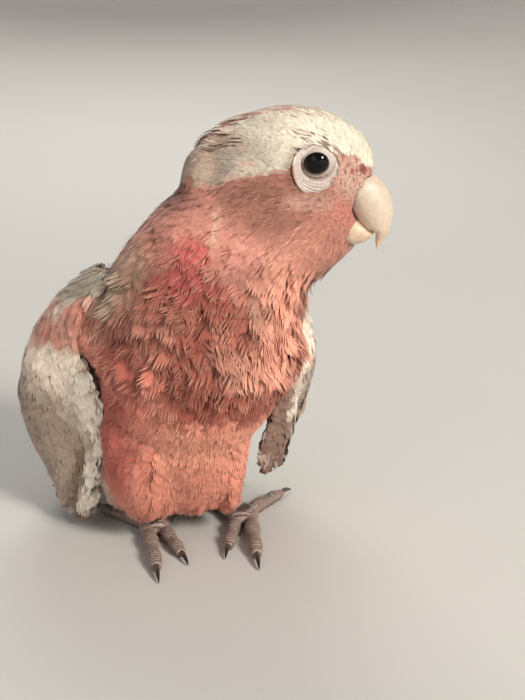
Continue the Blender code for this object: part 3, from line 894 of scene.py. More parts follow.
def makeEyeRing(surface, side):
    centre, ahead, up, out = eyeAxes(side)
    bm = bmesh.new()
    bmesh.ops.create_grid(bm, x_segments=eyeRing["around"], y_segments=eyeRing["rows"], size=1)
    rows = []
    tone = bm.verts.layers.float_color.new("coat")
    for vert in bm.verts:
        # q runs outwards, from -0.1 under the lid's edge over 0 on it to 1.14 past the rim
        turn = math.pi * (vert.co.x + 1)
        q = -0.1 + 1.24 * ((vert.co.y + 1) / 2) ** 1.25
        outward = np.array((math.cos(turn), math.sin(turn)))
        inner = np.array(eyeRing["shift"]) + outward * eyeRing["opening"]
        outer = np.array(eyeRing["middle"]) + outward * eyeRing["reach"]
        flat = inner * (1 - q) + outer * q
        ball = math.sqrt(max(0, eyeRing["ball"] ** 2 - flat @ flat))
        spot = centre + (ahead * flat[0] + up * flat[1]) * mm
        hit = surface["tree"].ray_cast(spot + out * 0.03, -out)[0]
        skin = (hit - centre).dot(out) / mm - 0.8
        at = np.array([[flat[0], flat[1], 7.0 * side]])
        wander = float(noise(at, 2.5, 2)[0])
        share = float(ramp(q, 0.02, 0.36))
        height = (ball + eyeRing["clear"]) * (1 - share) + skin * share
        if ball > 0:
            height = max(height, ball + eyeRing["clear"])
        lower = 0.55 - 0.45 * math.sin(turn)
        wrinkle = math.sin(2 * math.pi * (q * 6.5 + 0.25 * wander))
        wrinkle *= float(ramp(q, 0.2, 0.3) * ramp(q, 0.9, 0.6)) * lower**2 * (1 + wander)
        bead = math.sin(turn * 34 + 2 * wander) * math.exp(-((q - 0.2) / 0.06) ** 2) * lower
        rim = math.exp(-((q - 0.05) / 0.07) ** 2)
        groove = math.exp(-((q - 0.19) / 0.05) ** 2) * lower
        height += 0.38 * rim - 0.22 * groove + 0.15 * wrinkle + 0.08 * bead + 0.05 * wander
        height -= 1.6 * float(ramp(q, 0.98, 1.14)) + 0.5 * float(ramp(q, 0.0, -0.1))
        vert.co = spot + out * height * mm
        # the groove and the troughs of the wrinkles are darkened as painted shade
        dark = min(1, 0.75 * groove + 0.4 * max(0, -wrinkle))
        inside = np.array(0.9 * float(ramp(q, 0.07, 0.0)))
        shade = mixed(eyeRing["skin"], (np.array(dark), eyeRing["foldShade"]), (inside, eyeRing["rim"]))
        start = 0.76 - 0.12 * math.sin(turn)
        rows.append((vert, shade * (1 + 0.06 * wander), float(ramp(q + 0.08 * wander, start, start + 0.25))))
    points = np.array([vert.co[:] for vert, _, _ in rows])
    plumage = plumageColour(points, np.broadcast_to(np.array(out), points.shape))
    for (vert, shade, blend), feather in zip(rows, plumage):
        vert[tone] = (*(shade * (1 - blend) + feather * blend), 1)
    bmesh.ops.remove_doubles(bm, verts=bm.verts, dist=1e-7)
    bm.normal_update()
    facing = sum((f.normal * f.calc_area() for f in bm.faces), Vector())
    if facing.dot(out) < 0:
        bmesh.ops.reverse_faces(bm, faces=bm.faces)
    bmesh.ops.solidify(bm, geom=bm.faces[:], thickness=eyeRing["thick"] * mm)
    mesh = bpy.data.meshes.new("eyeRing")
    bm.to_mesh(mesh)
    bm.free()
    return mesh


def makeEyeball(name, side):
    centre, ahead, up, out = eyeAxes(side)
    bm = bmesh.new()
    bmesh.ops.create_uvsphere(bm, u_segments=64, v_segments=40, radius=eyeRing["ball"] * mm)
    tone = bm.verts.layers.float_color.new("coat")
    for vert in bm.verts:
        tilt = math.degrees(vert.co.angle(Vector((0, 0, 1))))
        iris = float(ramp(tilt, 22, 25) * ramp(tilt, 46, 42))
        shade = mixed(eyeRing["pupil"], (np.array(iris), eyeRing["iris"]))
        shade = mixed(shade, (ramp(tilt, 46, 50), eyeRing["white"]))
        vert[tone] = (*shade, 1)
        vert.co.z += 0.25 * mm * math.exp(-((tilt / 35) ** 2))
    turn = Matrix((ahead, up, out)).transposed().to_4x4()
    bm.transform(Matrix.Translation(centre) @ turn)
    return addPiece(name, meshOf(bm, name), finishes["eyeball"])


# the skin under the feathers
fleshNodes = ["trunk", "neck", "head", "crest", "eye_left", "eye_right", "thigh_left", "thigh_right"]
bodyForm = {"grow": 0.25, "voxel": 1.25, "rounds": 5}
# rounds that fill the hollows between the solids: the axes they are given in, middle and radii
fillings = (
    ("head", (7.0, 0, -20), (7.0, 7.7, 6.5)),
    ("head", (8.0, 0, -26), (5.5, 6.2, 5.0)),
    ("bird", (-33, 4, 90), (8, 15, 9)),
    ("bird", (-35, -3, 81), (6, 7, 9)),
    ("bird", (-34, -3, 75), (6, 8, 11)),
    ("bird", (-37.5, -5, 77), (5, 5, 9)),
    ("bird", (-30, -4, 37), (6, 9, 17)),
    ("head", (-2.5, 0, -34), (7, 8, 5)),
    ("bird", (-0.5, -13, 127), (6.5, 11, 13)),
    ("bird", (33, 2, 98), (8, 15, 9)),
)


def makeBodyShape():
    bm = copyOf(fleshNodes, bodyForm["grow"] * mm)
    for axes, centre, radii in fillings:
        spot = fromHead(*centre) if axes == "head" else fromBird(*centre)
        turn = Matrix(headAxes.tolist()).to_4x4() if axes == "head" else Matrix.Identity(4)
        place = Matrix.Translation(spot) @ turn @ Matrix.Diagonal((*[r * mm for r in radii], 1))
        bmesh.ops.create_icosphere(bm, subdivisions=4, radius=1, matrix=place)
    for vert in bm.verts:
        # the left side of the belly runs in towards the leg
        x, _, z = (vert.co - standing) / mm
        vert.co.x -= 0.52 * (x - 5) * mm * float(ramp(z, 54, 24)) * float(ramp(x, 5, 12))
    return moulded(bm, bodyForm["voxel"] * mm, bodyForm["rounds"])


bodyShape = makeBodyShape()
bodySurface = surfaceOf(bodyShape)


wingForm = {"voxel": 0.8, "roll": 1.3, "crease": 1.5, "out": 2.6, "spacing": 2.2, "bendSpacing": 2.0}
wingTones = {
    "outside": paint(246, 230, 212),
    # browner rear of the wing, partly deepened as painted shade
    "rearBrownShade": paint(152, 132, 118),
    "mottle": paint(150, 126, 112),
    # painted shade for the crease behind the rolled front edge
    "groove": paint(110, 90, 78),
    # painted highlight for the rolled front edge and the front below the bend
    "edge": paint(255, 244, 228),
    "tip": paint(140, 120, 106),
    "bend": paint(206, 138, 118),
    "bendDeep": paint(204, 106, 94),
    # the underwing's grey-brown, deepened as painted shade
    "inside": paint(132, 104, 92),
    "barbTip": paint(240, 230, 214),
}


def wingPlace(word, points):
    # a wing's own places run back along its box and down it, both from 0 to 1
    low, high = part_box("wing_" + word)
    return (points[:, 1] - low.y) / (high.y - low.y), (high.z - points[:, 2]) / (high.z - low.z)


def foldedEdge(back, down):
    # how far behind the crease of the rolled front edge a place is, and how clear the crease is there
    return back - (0.20 + 0.45 * (down - 0.69)), ramp(down, 0.62, 0.76)


def wingShape(word, voxel):
    bm = copyOf(["wing_" + word], 0)
    bmesh.ops.subdivide_edges(bm, edges=bm.edges[:], cuts=1, use_grid_fill=True)
    bm.normal_update()
    side = -1 if word == "right" else 1
    points = np.array([vert.co[:] for vert in bm.verts])
    facing = np.array([vert.normal[:] for vert in bm.verts])
    behind, clear = foldedEdge(*wingPlace(word, points))
    height = inBird(points)[:, 2]
    roll = wingForm["roll"] * near((behind + 0.07)[:, None], (0,), (0.06,))
    crease = wingForm["crease"] * near(behind[:, None], (0,), (0.04,))
    rise = clear * (roll - crease) * ramp(facing[:, 0] * side, -0.2, 0.3)
    points = points + facing * rise[:, None] * mm
    if side > 0:
        points[:, 0] += wingForm["out"] * mm * ramp(height, 74, 60) * ramp(height, 20, 34)
    for vert, point in zip(bm.verts, points):
        vert.co = point
    return moulded(bm, voxel, 3)


wingSurface = {word: surfaceOf(wingShape(word, wingForm["voxel"] * mm)) for word in ("right", "left")}


def wingColour(word, spot, facing):
    # pale outside with a pink patch at the bend; browner behind and below, which is partly its own colour and
    # partly painted shade; painted shade in the crease behind the rolled front edge and a painted highlight
    # along that edge; darker on the inner face, its grey-brown deepened as painted shade
    side = -1 if word == "right" else 1
    back, down = wingPlace(word, spot)
    bird = inBird(spot)
    ragged = noise(spot, 6 * mm, 35)
    under = 1 - ramp(facing[:, 0] * side, *((-0.97, -0.75) if side < 0 else (-0.45, 0.1)))
    if side > 0:
        # on the left wing, the inner face beside the body is darkened as painted shade
        inside = ramp(bird[:, 0] + 2 * ragged, 43, 36) * ramp(bird[:, 2] + 3 * ragged, 60, 46)
        under = np.maximum(under, inside * ramp(back, 0.6, 0.4) * (1 - 0.35 * ramp(ragged, 0.1, 0.6)))
    patch = ramp(back, 0.38, 0.24) * ramp(down + 0.03 * ragged, 0.35, 0.29)
    patch = patch * ramp(down + 0.05 * ragged, 0.12, 0.19)
    behind, clear = foldedEdge(back, down)
    # browner behind and below, partly painted shade on the side away from the light
    rearBrownShade = ramp(down + 0.75 * back + 0.06 * ragged, 0.60, 0.80) * ramp(behind, -0.04, 0.02)
    rearBrownShade = rearBrownShade * (1 - 0.5 * ramp(back, 0.4, 0.6))
    # painted shade in the crease behind the rolled front edge
    groove = clear * near(behind[:, None], (0.01,), (0.022,))
    pink = mixed(wingTones["bend"] + 0 * spot, (0.7 * ramp(ragged, -0.2, 0.5), wingTones["bendDeep"]))
    colour = mixed(
        wingTones["outside"] + 0 * spot,
        (0.9 * rearBrownShade, wingTones["rearBrownShade"]),
        (0.4 * ramp(noise(spot, 5 * mm, 31), 0.25, 0.7) * ramp(down, 0.3, 0.5), wingTones["mottle"]),
        (0.8 * groove, wingTones["groove"]),
        # painted highlight on the rolled front edge and on the front below the bend
        (clear * ramp(behind, -0.01, -0.06), wingTones["edge"]),
        (0.9 * ramp(back, 0.22, 0.10) * ramp(down, 0.34, 0.42), wingTones["edge"]),
        (ramp(down, 0.17, 0.11), tones["mantle"] * 0.78),
        (ramp(down, 0.96, 1.0), wingTones["tip"]),
        (0.85 * patch, pink),
        (under, wingTones["inside"]),
    )
    return colour * (1 + 0.06 * noise(spot, 3 * mm, 32))[:, None], patch


billSurface = surfaceOf(meshOf(copyOf(["upper_bill", "lower_bill"], 0), "bill"))
print("outer shape of the coat read from the frame")


def coatDepth(points):
    # how thick the coat is, which is how far the skin lies under its outside
    head, face = headShare(points, 24, 38), faceShare(points, 22)
    away, _, _ = eyeGap(points)
    return mixed(2.2, (head, 1.1), (face, 0.6), (ramp(away, 1.5, 1.1), 0.5), (ramp(away, 1.0, 0.8), 3.5))


def sunk(mesh, depth):
    # the surface moved in, but never by more than a third of what is under it
    points, normals = pointsOf(mesh), normalsOf(mesh)
    tree = surfaceOf(mesh)["tree"]
    thick = np.empty(len(points))
    for i, (point, normal) in enumerate(zip(points.tolist(), normals.tolist())):
        way = -Vector(normal)
        gap = tree.ray_cast(Vector(point) + way * 1e-5, way, 0.1)[3]
        thick[i] = gap if gap is not None else 0.001
    move = np.minimum(depth, thick * 0.33)
    mesh.vertices.foreach_set("co", (points - normals * move[:, None]).astype(np.float32).ravel())
    mesh.update()


footForm = {
    "voxel": 0.36,
    "scute": 1.35,
    "rise": 0.24,
    "sides": 20,
    "hide": paint(128, 106, 98),
    "mealy": paint(206, 190, 178),
    "crease": paint(62, 48, 44),
}


def tube(bm, line, wide, high, sides):
    loops = []
    way = [b - a for a, b in zip(line, line[1:])]
    ways = [way[0], *[(a + b).normalized() for a, b in zip(way, way[1:])], way[-1]]
    for spot, ahead, w, h in zip(line, ways, wide, high):
        turn = ahead.to_track_quat("Z", "Y").to_matrix().to_4x4()
        place = Matrix.Translation(spot) @ turn @ Matrix.Diagonal((w, h, 1, 1))
        ring = bmesh.ops.create_circle(bm, segments=sides, radius=1, matrix=place)["verts"]
        loops.append(list({edge for vert in ring for edge in vert.link_edges}))
    for lower, upper in zip(loops, loops[1:]):
        bmesh.ops.bridge_loops(bm, edges=lower + upper)
    bmesh.ops.contextual_create(bm, geom=loops[0])
    bmesh.ops.contextual_create(bm, geom=loops[-1])


def toeLine(word, number):
    # where the toe lies on the floor, and its half width at its root and its end
    pad = np.array(middle("foot_" + word))[:2]
    points = pointsOf(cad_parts[f"toe_{word}_{number}"].data)[:, :2]
    centre = points.mean(axis=0)
    ahead = np.linalg.svd(points - centre, full_matrices=False)[2][0]
    if ahead @ (centre - pad) < 0:
        ahead = -ahead
    along = (points - centre) @ ahead
    aside = np.abs((points - centre) @ np.array((-ahead[1], ahead[0])))
    length = along.max() - along.min()
    ends = [aside[along < along.min() + 0.3 * length].max(), aside[along > along.max() - 0.25 * length].max()]
    return centre + ahead * along.min(), centre + ahead * along.max(), ends


def makeFoot(word):
    bm = bmesh.new()
    pad = middle("foot_" + word)
    low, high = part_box("foot_" + word)
    ball = Matrix.Translation(pad) @ Matrix.Diagonal((*((high - low) / 2 * 1.04), 1))
    bmesh.ops.create_uvsphere(bm, u_segments=32, v_segments=20, radius=1, matrix=ball)
    axes = []
    for number in (1, 2, 3, 4):
        start, end, (root, tip) = toeLine(word, number)
        start = start - (end - start) / np.linalg.norm(end - start) * 3 * mm
        line, widths = [], []
        for t in np.linspace(0, 1, 26):
            swell = 1 + 0.09 * math.cos(2 * math.pi * (t * 2.6 - 0.05))
            half = (root + (tip - root) * t) * swell * (1 if t < 0.97 else 0.86)
            flat = start + (end - start) * t
            line.append(Vector((flat[0], flat[1], half * 0.92)))
            widths.append(half)
        tube(bm, line, widths, widths, footForm["sides"])
        axes.append((np.append(start, root * 0.9), np.append(end, tip * 0.9)))
    shank = pointsOf(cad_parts["shank_" + word].data)
    centre = shank.mean(axis=0)
    way = np.linalg.svd(shank - centre, full_matrices=False)[2][0]
    way = way if way[2] > 0 else -way
    reach = ((shank - centre) @ way).max() + 5 * mm
    bottom = np.array((pad.x, pad.y, 5 * mm))
    top = centre + way * reach
    line = [Vector(bottom + (top - bottom) * t) for t in np.linspace(0, 1, 12)]
    widths = [(3.3 - 0.7 * math.sin(math.pi * t)) * mm for t in np.linspace(0, 1, 12)]
    tube(bm, line, widths, widths, footForm["sides"])
    axes.append((bottom, top))
    bmesh.ops.recalc_face_normals(bm, faces=bm.faces)
    mesh = moulded(bm, footForm["voxel"] * mm, 3)
    points, normals = pointsOf(mesh), normalsOf(mesh)
    # rings of scutes over the toes and up the front of the leg
    nearest, along = np.full(len(points), 1e9), np.zeros(len(points))
    for start, end in axes:
        run = end - start
        share = np.clip(((points - start) @ run) / (run @ run), 0, 1)
        gap = np.linalg.norm(points - start - share[:, None] * run, axis=1)
        closer = gap < nearest
        nearest = np.where(closer, gap, nearest)
        along = np.where(closer, share * np.linalg.norm(run), along)
    wander = noise(points, 1.1 * mm, 3)
    wave = np.abs(np.sin(math.pi * (along / mm / footForm["scute"] + 0.16 * wander)))
    crest = wave**0.7
    above = ramp(normals[:, 2], -0.35, 0.3)
    pimples = noise(points, 0.7 * mm, 4)
    move = footForm["rise"] * (crest - 0.55) * above + 0.09 * pimples * (1 - above)
    points = points + normals * (move * mm)[:, None]
    points[:, 2] = np.where(points[:, 2] < 0.3 * mm, 0.0, points[:, 2])
    mesh.vertices.foreach_set("co", points.astype(np.float32).ravel())
    mesh.update()
    pale = ramp(wave, 0.55, 0.95) * above * (0.62 + 0.38 * noise(points, 0.9 * mm, 8))
    colours = mixed(
        footForm["hide"] * (1 + 0.12 * wander[:, None]),
        (0.85 * ramp(wave, 0.5, 0.1) * above, footForm["crease"]),
        (0.75 * np.clip(pale, 0, 1), footForm["mealy"]),
    )
    paintPoints(mesh, colours)
    return mesh


# one skin under all the feathers; shades are set against the feathers' own colours
skinForm = {
    "wingVoxel": 1.0,
    "wingDepth": 1.2,
    "voxel": 1.55,
    "shade": 0.62,
    "wingShade": 0.8,
    "covers": ("trunk", "neck", "head", "crest", "thigh", "shank", "foot", "toe", "wing"),
}


def makeSkin():
    body = bodyShape.copy()
    points = pointsOf(body)
    sunk(body, coatDepth(points) * mm - 0.8 * relief(points))
    bm = bmesh.new()
    bm.from_mesh(body)
    for word in ("right", "left"):
        wing = wingShape(word, skinForm["wingVoxel"] * mm)
        sunk(wing, skinForm["wingDepth"] * mm)
        bm.from_mesh(wing)
    whole = moulded(bm, skinForm["voxel"] * mm, 2)
    points, normals = pointsOf(whole), normalsOf(whole)
    colours = plumageColour(points, normals) * skinForm["shade"]
    for word in ("right", "left"):
        gap = np.linalg.norm(points - settle(wingSurface[word], points)[0], axis=1) / mm
        shaded = wingColour(word, points, normals)[0] * skinForm["wingShade"]
        colours = mixed(colours, (ramp(gap, 3.2, 2.2), shaded))
    paintPoints(whole, colours)
    bm = bmesh.new()
    bm.from_mesh(whole)
    for part in [makeEyeRing(bodySurface, side) for side in (-1, 1)] + [makeFoot("right"), makeFoot("left")]:
        bm.from_mesh(part)
    mesh = bpy.data.meshes.new("skin")
    bm.to_mesh(mesh)
    bm.free()
    skin = addPiece("skin", mesh, finishes["hide"])
    replaced = [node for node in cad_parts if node.split("_")[0] in skinForm["covers"]]
    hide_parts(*replaced)
    print("skin made:", len(mesh.polygons), "faces")


makeSkin()
for name, side in (("eyeball_right", -1), ("eyeball_left", 1)):
    ball = makeEyeball(name, side)
    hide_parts("eye_right" if side < 0 else "eye_left")
print("eyes made")


# the bill, in millimetres in the head's axes: the upper ridge is an arc about ridgeMiddle, and each of
# its stations is an angle on the arc, the cutting edge under it (forward, up) and the half width; a
# lower station is forward, up, half height and half width
billForm = {
    "ridgeMiddle": (8.6, -17.1),
    "ridge": 15.9,
    "upper": (
        (80, 3, -7.5, 7),
        (52, 9, -13, 7.3),
        (30, 10.6, -16, 6.9),
        (8, 13, -19.6, 6.1),
        (-12, 15.8, -22.5, 4.8),
        (-25, 18.6, -23.4, 3.3),
        (-38, 18.8, -26.4, 2.0),
        (-49, 19.3, -29.3, 0.5),
    ),
    "lower": (
        (2, -22.8, 5.4, 5.6),
        (8, -22.9, 5.6, 5.7),
        (12, -23.3, 4.6, 5.3),
        (15.5, -24.4, 2.6, 4.1),
        (17.6, -24.6, 1.0, 2.4),
    ),
    "steps": 6,
    "sides": 40,
    "horn": paint(206, 190, 172),
    "edge": paint(188, 156, 126),
    "base": paint(212, 190, 170),
    "lowerHorn": paint(214, 188, 162),
}


def billRing(bm, outer, inner, halfWidth, ridge):
    middleAt, reach = (outer + inner) / 2, (outer - inner) / 2
    verts = []
    for angle in np.linspace(0, 2 * math.pi, billForm["sides"], endpoint=False):
        along, across = math.cos(angle), math.sin(angle)
        flat = middleAt + reach * along
        width = halfWidth * math.copysign(abs(across) ** 0.85, across) * (1 - 0.12 * along)
        width *= 1 - ridge * max(0, along) ** 2
        verts.append(bm.verts.new(fromHead(flat[0], width, flat[1])))
    return [bm.edges.new((a, b)) for a, b in zip(verts, verts[1:] + verts[:1])]


def loftBill(bm, loops):
    for lower, upper in zip(loops, loops[1:]):
        bmesh.ops.bridge_loops(bm, edges=lower + upper)
    bmesh.ops.contextual_create(bm, geom=loops[0])
    bmesh.ops.contextual_create(bm, geom=loops[-1])
    bmesh.ops.recalc_face_normals(bm, faces=bm.faces)


def paintBill(bm, colourAt):
    bm.normal_update()
    tone = bm.verts.layers.float_color.new("coat")
    points = np.array([vert.co[:] for vert in bm.verts])
    for vert, shade in zip(bm.verts, colourAt(points)):
        vert[tone] = (*np.clip(shade, 0, 1), 1)


def makeUpperBill():
    bm = bmesh.new()
    loops = []
    for angle, forward, up, halfWidth in curveThrough(billForm["upper"], billForm["steps"]):
        turn = math.radians(angle)
        toRidge = billForm["ridge"] * np.array((math.cos(turn), math.sin(turn)))
        outer = np.array(billForm["ridgeMiddle"]) + toRidge
        loops.append(billRing(bm, outer, np.array((forward, up)), halfWidth, 0.1))
    loftBill(bm, loops)

    def colourAt(points):
        head = inHead(points)
        low = ramp(head[:, 2], -19, -27)
        growth = np.sin(head[:, 2] * 2.2 + head[:, 0] * 1.4 + 2 * noise(points, 4 * mm, 3))
        colour = mixed(
            billForm["horn"] + 0 * points,
            (0.45 * low, billForm["edge"]),
            (0.6 * ramp(head[:, 0] + head[:, 2] * 0.9, 6, 0), billForm["base"]),
        )
        return colour * (1 + 0.02 * growth + 0.05 * noise(points, 2.2 * mm, 9))[:, None]

    paintBill(bm, colourAt)
    piece = addPiece("bill_upper", meshOf(bm, "bill_upper"), finishes["billHorn"])
    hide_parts("upper_bill")


def makeLowerBill():
    bm = bmesh.new()
    loops = []
    for forward, up, halfHeight, halfWidth in curveThrough(billForm["lower"], billForm["steps"]):
        outer = np.array((forward - 0.8, up - halfHeight))
        inner = np.array((forward + 0.8, up + halfHeight))
        loops.append(billRing(bm, outer, inner, halfWidth, 0.0))
    loftBill(bm, loops)
    paintBill(bm, lambda points: billForm["lowerHorn"] * (1 + 0.06 * noise(points, 2 * mm, 4))[:, None])
    piece = addPiece("bill_lower", meshOf(bm, "bill_lower"), finishes["billHorn"])
    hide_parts("lower_bill")


makeUpperBill()
makeLowerBill()

clawForm = {"rings": 18, "sides": 18, "hump": 0.5, "base": paint(92, 78, 70), "tip": paint(30, 25, 23)}


def makeClaws():
    bm = bmesh.new()
    tone = bm.verts.layers.float_color.new("coat")
    for word, number in itertools.product(("right", "left"), (1, 2, 3, 4)):
        _, toeEnd, _ = toeLine(word, number)
        points = pointsOf(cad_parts[f"claw_{word}_{number}"].data)
        ahead = points[:, :2].mean(axis=0) - toeEnd
        ahead = ahead / np.linalg.norm(ahead)
        along = (points[:, :2] - toeEnd) @ ahead
        base = points[along < along.min() + 0.2 * mm].mean(axis=0)
        tip = points[along > along.max() - 0.2 * mm].mean(axis=0)
        half = points[along < along.min() + 0.2 * mm][:, 2].max() - base[2]
        base[:2] -= ahead * 1.2 * mm
        line, widths, highs = [], [], []
        for t in np.linspace(0, 1, clawForm["rings"]):
            flat = base[:2] + (tip[:2] - base[:2]) * t
            drop = (base[2] - tip[2]) * t**2.2 - clawForm["hump"] * mm * math.sin(math.pi * t)
            line.append(Vector((flat[0], flat[1], base[2] - drop)))
            size = half * (1.12 - 0.25 * t) * (1 - t**3) + 0.12 * mm
            widths.append(size * 0.82)
            highs.append(size)
        count = len(bm.verts)
        tube(bm, line, widths, highs, clawForm["sides"])
        bm.verts.ensure_lookup_table()
        length = (line[-1] - line[0]).length
        for vert in bm.verts[count:]:
            share = min(1, (vert.co - line[0]).length / length)
            vert[tone] = (*mixed(clawForm["base"], (ramp(share, 0.1, 0.85), clawForm["tip"])), 1)
    claws = addPiece("claws", meshOf(bm, "claws"), finishes["claw"])
    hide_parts(*[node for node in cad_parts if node.startswith("claw_")])


makeClaws()
print("bill and claws made")


def coatForm(points, locks, **more):
    # the feathers of the head and body: their size and lie at each place
    bird = inBird(points)
    onHead, face = headShare(points, 25, 37), faceShare(points, 24)
    front = ramp(-bird[:, 1], 4, 22)
    breast = front * ramp(bird[:, 2], 54, 62) * (1 - headShare(points, 34, 50))
    belly = front * ramp(bird[:, 2], 60, 50)
    back = ramp(bird[:, 1], 4, 18)
    count = len(points)
    ruffle = noise(points, 9 * mm, 21) + 0.6 * noise(points, 4 * mm, 22)
    raised = 0.4 + 0.7 * np.clip(ruffle, -0.4, 1)
    length = mixed(
        np.full(count, 9.0), (back, 12.0), (breast, 10.5), (belly, 8.0), (onHead, 6.0), (face, 3.0)
    )
    width = mixed(np.full(count, 2.2), (back, 3.6), (breast, 2.7), (belly, 1.6), (onHead, 0.72), (face, 0.5))
    lift = mixed(
        np.full(count, 0.3), (back, 0.25), (breast, raised), (belly, 0.15), (onHead, 0.05), (face, 0.04)
    )
    depth = mixed(np.full(count, 1.2), (breast, 1.5), (back, 1.2), (onHead, 0.42), (face, 0.25))
    wander = mixed(np.full(count, 0.10), (breast, 0.22), (belly, 0.10), (onHead, 0.06))
    lean = wander * rng.normal(0, 1, count)
    across, below, own = clumpAt(points)
    lift = lift + breast * 3.2 * below**1.4 * (1 - 0.45 * across**2)
    lean = lean + breast * (own + 0.35 * across)
    form = {
        **plainForm,
        "length": length * rng.uniform(0.85, 1.15, count),
        "width": width * rng.uniform(0.85, 1.15, count),
        "lift": np.maximum(lift, 0),
        "depth": depth,
        "lean": lean,
        "relief": relief,
        "locks": locks,
        "stations": (0, 0.4, 0.76, 1),
        "round": 0.26,
        "fray": 0.07,
        "full": 1.9,
        "thick": 0.07,
        "uneven": 0.02,
        "vary": 0.05,
        "varyLock": 0.04,
        "downShare": 0.3,
        "tipShare": 0.25,
    }
    form.update(more)
    return form


def coatSpacing(points):
    bird = inBird(points)
    onHead, face = headShare(points, 25, 37), faceShare(points, 24)
    front = ramp(-bird[:, 1], 4, 22)
    belly = front * ramp(bird[:, 2], 60, 50)
    back = ramp(bird[:, 1], 4, 18)
    return mixed(np.full(len(points), 1.8), (back, 2.4), (belly, 1.45), (onHead, 0.78), (face, 0.6)) * mm


def feathersGrow(points, facing):
    # not on the bill, not on the bare skin round the eye, and not close to the floor; the feathers above
    # the eye reach nearer to it than those below
    away, _, high = eyeGap(points)
    onBill, billFacing = settle(billSurface, points)
    clear = np.linalg.norm(points - onBill, axis=1) > 0.35 * mm
    inside = dot(points - onBill, billFacing)[:, 0] < 0
    return (away > 0.92 - 0.14 * ramp(high, 0.3, 0.7)) & clear & ~inside & (points[:, 2] >= 7 * mm)


def coatColours(laid):
    line, up, _ = laid
    spot, facing = line[:, 3], up[:, 3]
    colour = plumageColour(spot, facing)
    bird = inBird(spot)
    paleCap = colour * 0.6 + 0.4 * tones["capTip"]
    pale = mixed(colour * 0.55 + tones["featherTip"] * 0.45, (capMask(spot), paleCap))
    # the top of each breast clump, tucked under the clump above, is darkened as painted shade
    _, below, _ = clumpAt(line[:, 0])
    front = ramp(-bird[:, 1], 8, 24) * ramp(bird[:, 2], 56, 62) * ramp(bird[:, 2], 108, 98)
    overhangShade = (1 - front * 0.34 * (1 - below))[:, None]
    colour, pale = colour * overhangShade, pale * overhangShade
    grey = np.clip(1 - (colour[:, 0] - colour[:, 2]) / 0.25, 0, 1)
    down = mixed(tones["down"] + 0 * colour, (grey, tones["greyDown"]))
    return colour, pale, down


mostFaces = 195000  # a coat with more is split into pieces, so that each stays under the export's limit


def makeCoat(title, places, facing, form, surface=bodySurface, lie=lieOfBody, unwrap=unwrapBody):
    laid = layFeathers(surface, places, facing, lie, form)
    colours = form["colours"](laid) if "colours" in form else coatColours(laid)
    bake = unwrap(places)
    each = form["locks"] * (len(form["stations"]) * 6 - 8)
    chunks = max(1, math.ceil(len(places) * each / mostFaces))
    order = np.argsort(places[:, 2], kind="stable")
    total = 0
    for i, rows in enumerate(np.array_split(order, chunks)):
        part = dict(form)
        for key, value in form.items():
            if isinstance(value, np.ndarray) and len(value) == len(places):
                part[key] = value[rows]
        name = title if chunks == 1 else f"{title}_{i + 1}"
        lines = [one[rows] for one in laid]
        shades = [one[rows] for one in colours]
        mesh = featherMesh(name, lines, part, *shades, bake[rows])
        addPiece(name, mesh, finishes["softFeather"])
        total += len(mesh.polygons)
    print(title, len(places), "feathers,", total, "faces")


def makeBodyCoat():
    places, facing = scatter(bodySurface, coatSpacing, feathersGrow)
    head = headShare(places, 27, 33) > 0.5
    cap = head & (capMask(places) > 0.5)
    behind = ~head & (inBird(places)[:, 1] > 10)
    high = ~head & ~behind & (inBird(places)[:, 2] > 56)
    low = ~head & ~behind & ~high
    short, long = (0, 0.62, 1), (0, 0.4, 0.76, 1)
    for title, slot, rows, locks, stations in (
        ("coat_cap", "white_plumage", cap, 6, short),
        ("coat_face", "pink_plumage", head & ~cap, 6, short),
        ("coat_breast", "pink_plumage", high, 12, long),
        ("coat_belly", "pink_plumage", low, 8, short),
        ("coat_back", "grey_plumage", behind, 12, long),
    ):
        form = coatForm(places[rows], locks, stations=stations, full=2.2, dome=0.15)
        if title == "coat_cap":
            form.update({"vary": 0.02, "blunt": 2.6, "fray": 0.12, "dome": 0.08})
            form["width"] = form["width"] * 1.15
        makeCoat(title, places[rows], facing[rows], form)


# broad ruffled feathers that stand off the breast and side of the neck
ruffleForm = {
    "spacing": 3.1,
    "length": (8, 12.5),
    "width": (2.8, 4.4),
    "lift": (0.5, 2.8),
    "lean": 0.25,
    "vane": {
        "fray": 0.10,
        "curl": 2.2,
        "dome": 0.3,
        "tipShare": 0.85,
        "downShare": 0.6,
        "splay": 0.25,
        "blunt": 3,
        "full": 2.1,
        "thick": 0.10,
        "vary": 0.08,
    },
}


def makeRuffles():
    def ruffled(points, facing):
        bird = inBird(points)
        front = ramp(-bird[:, 1], 12, 22) * ramp(bird[:, 2], 61, 66) * ramp(bird[:, 2], 106, 98)
        return rng.random(len(points)) < front * (0.55 + 0.45 * noise(points, 14 * mm, 41))

    places, facing = scatter(bodySurface, evenly(ruffleForm["spacing"]), ruffled)
    count = len(places)
    form = coatForm(places, 10)
    form["length"] = rng.uniform(*ruffleForm["length"], count)
    form["width"] = rng.uniform(*ruffleForm["width"], count)
    form["lift"] = rng.uniform(*ruffleForm["lift"], count) + form["lift"]
    form["lean"] = form["lean"] + rng.normal(0, ruffleForm["lean"], count)
    form.update(ruffleForm["vane"])
    makeCoat("coat_ruffles", places, facing, form)


# loose tufts that hang over the legs
trouserForm = {
    "spacing": 2.4,
    "length": (5, 8),
    "width": (1.4, 2.2),
    "lift": (0.4, 2.0),
    "lean": 0.25,
    "vane": {"curl": 1.6, "tipShare": 0.4},
}


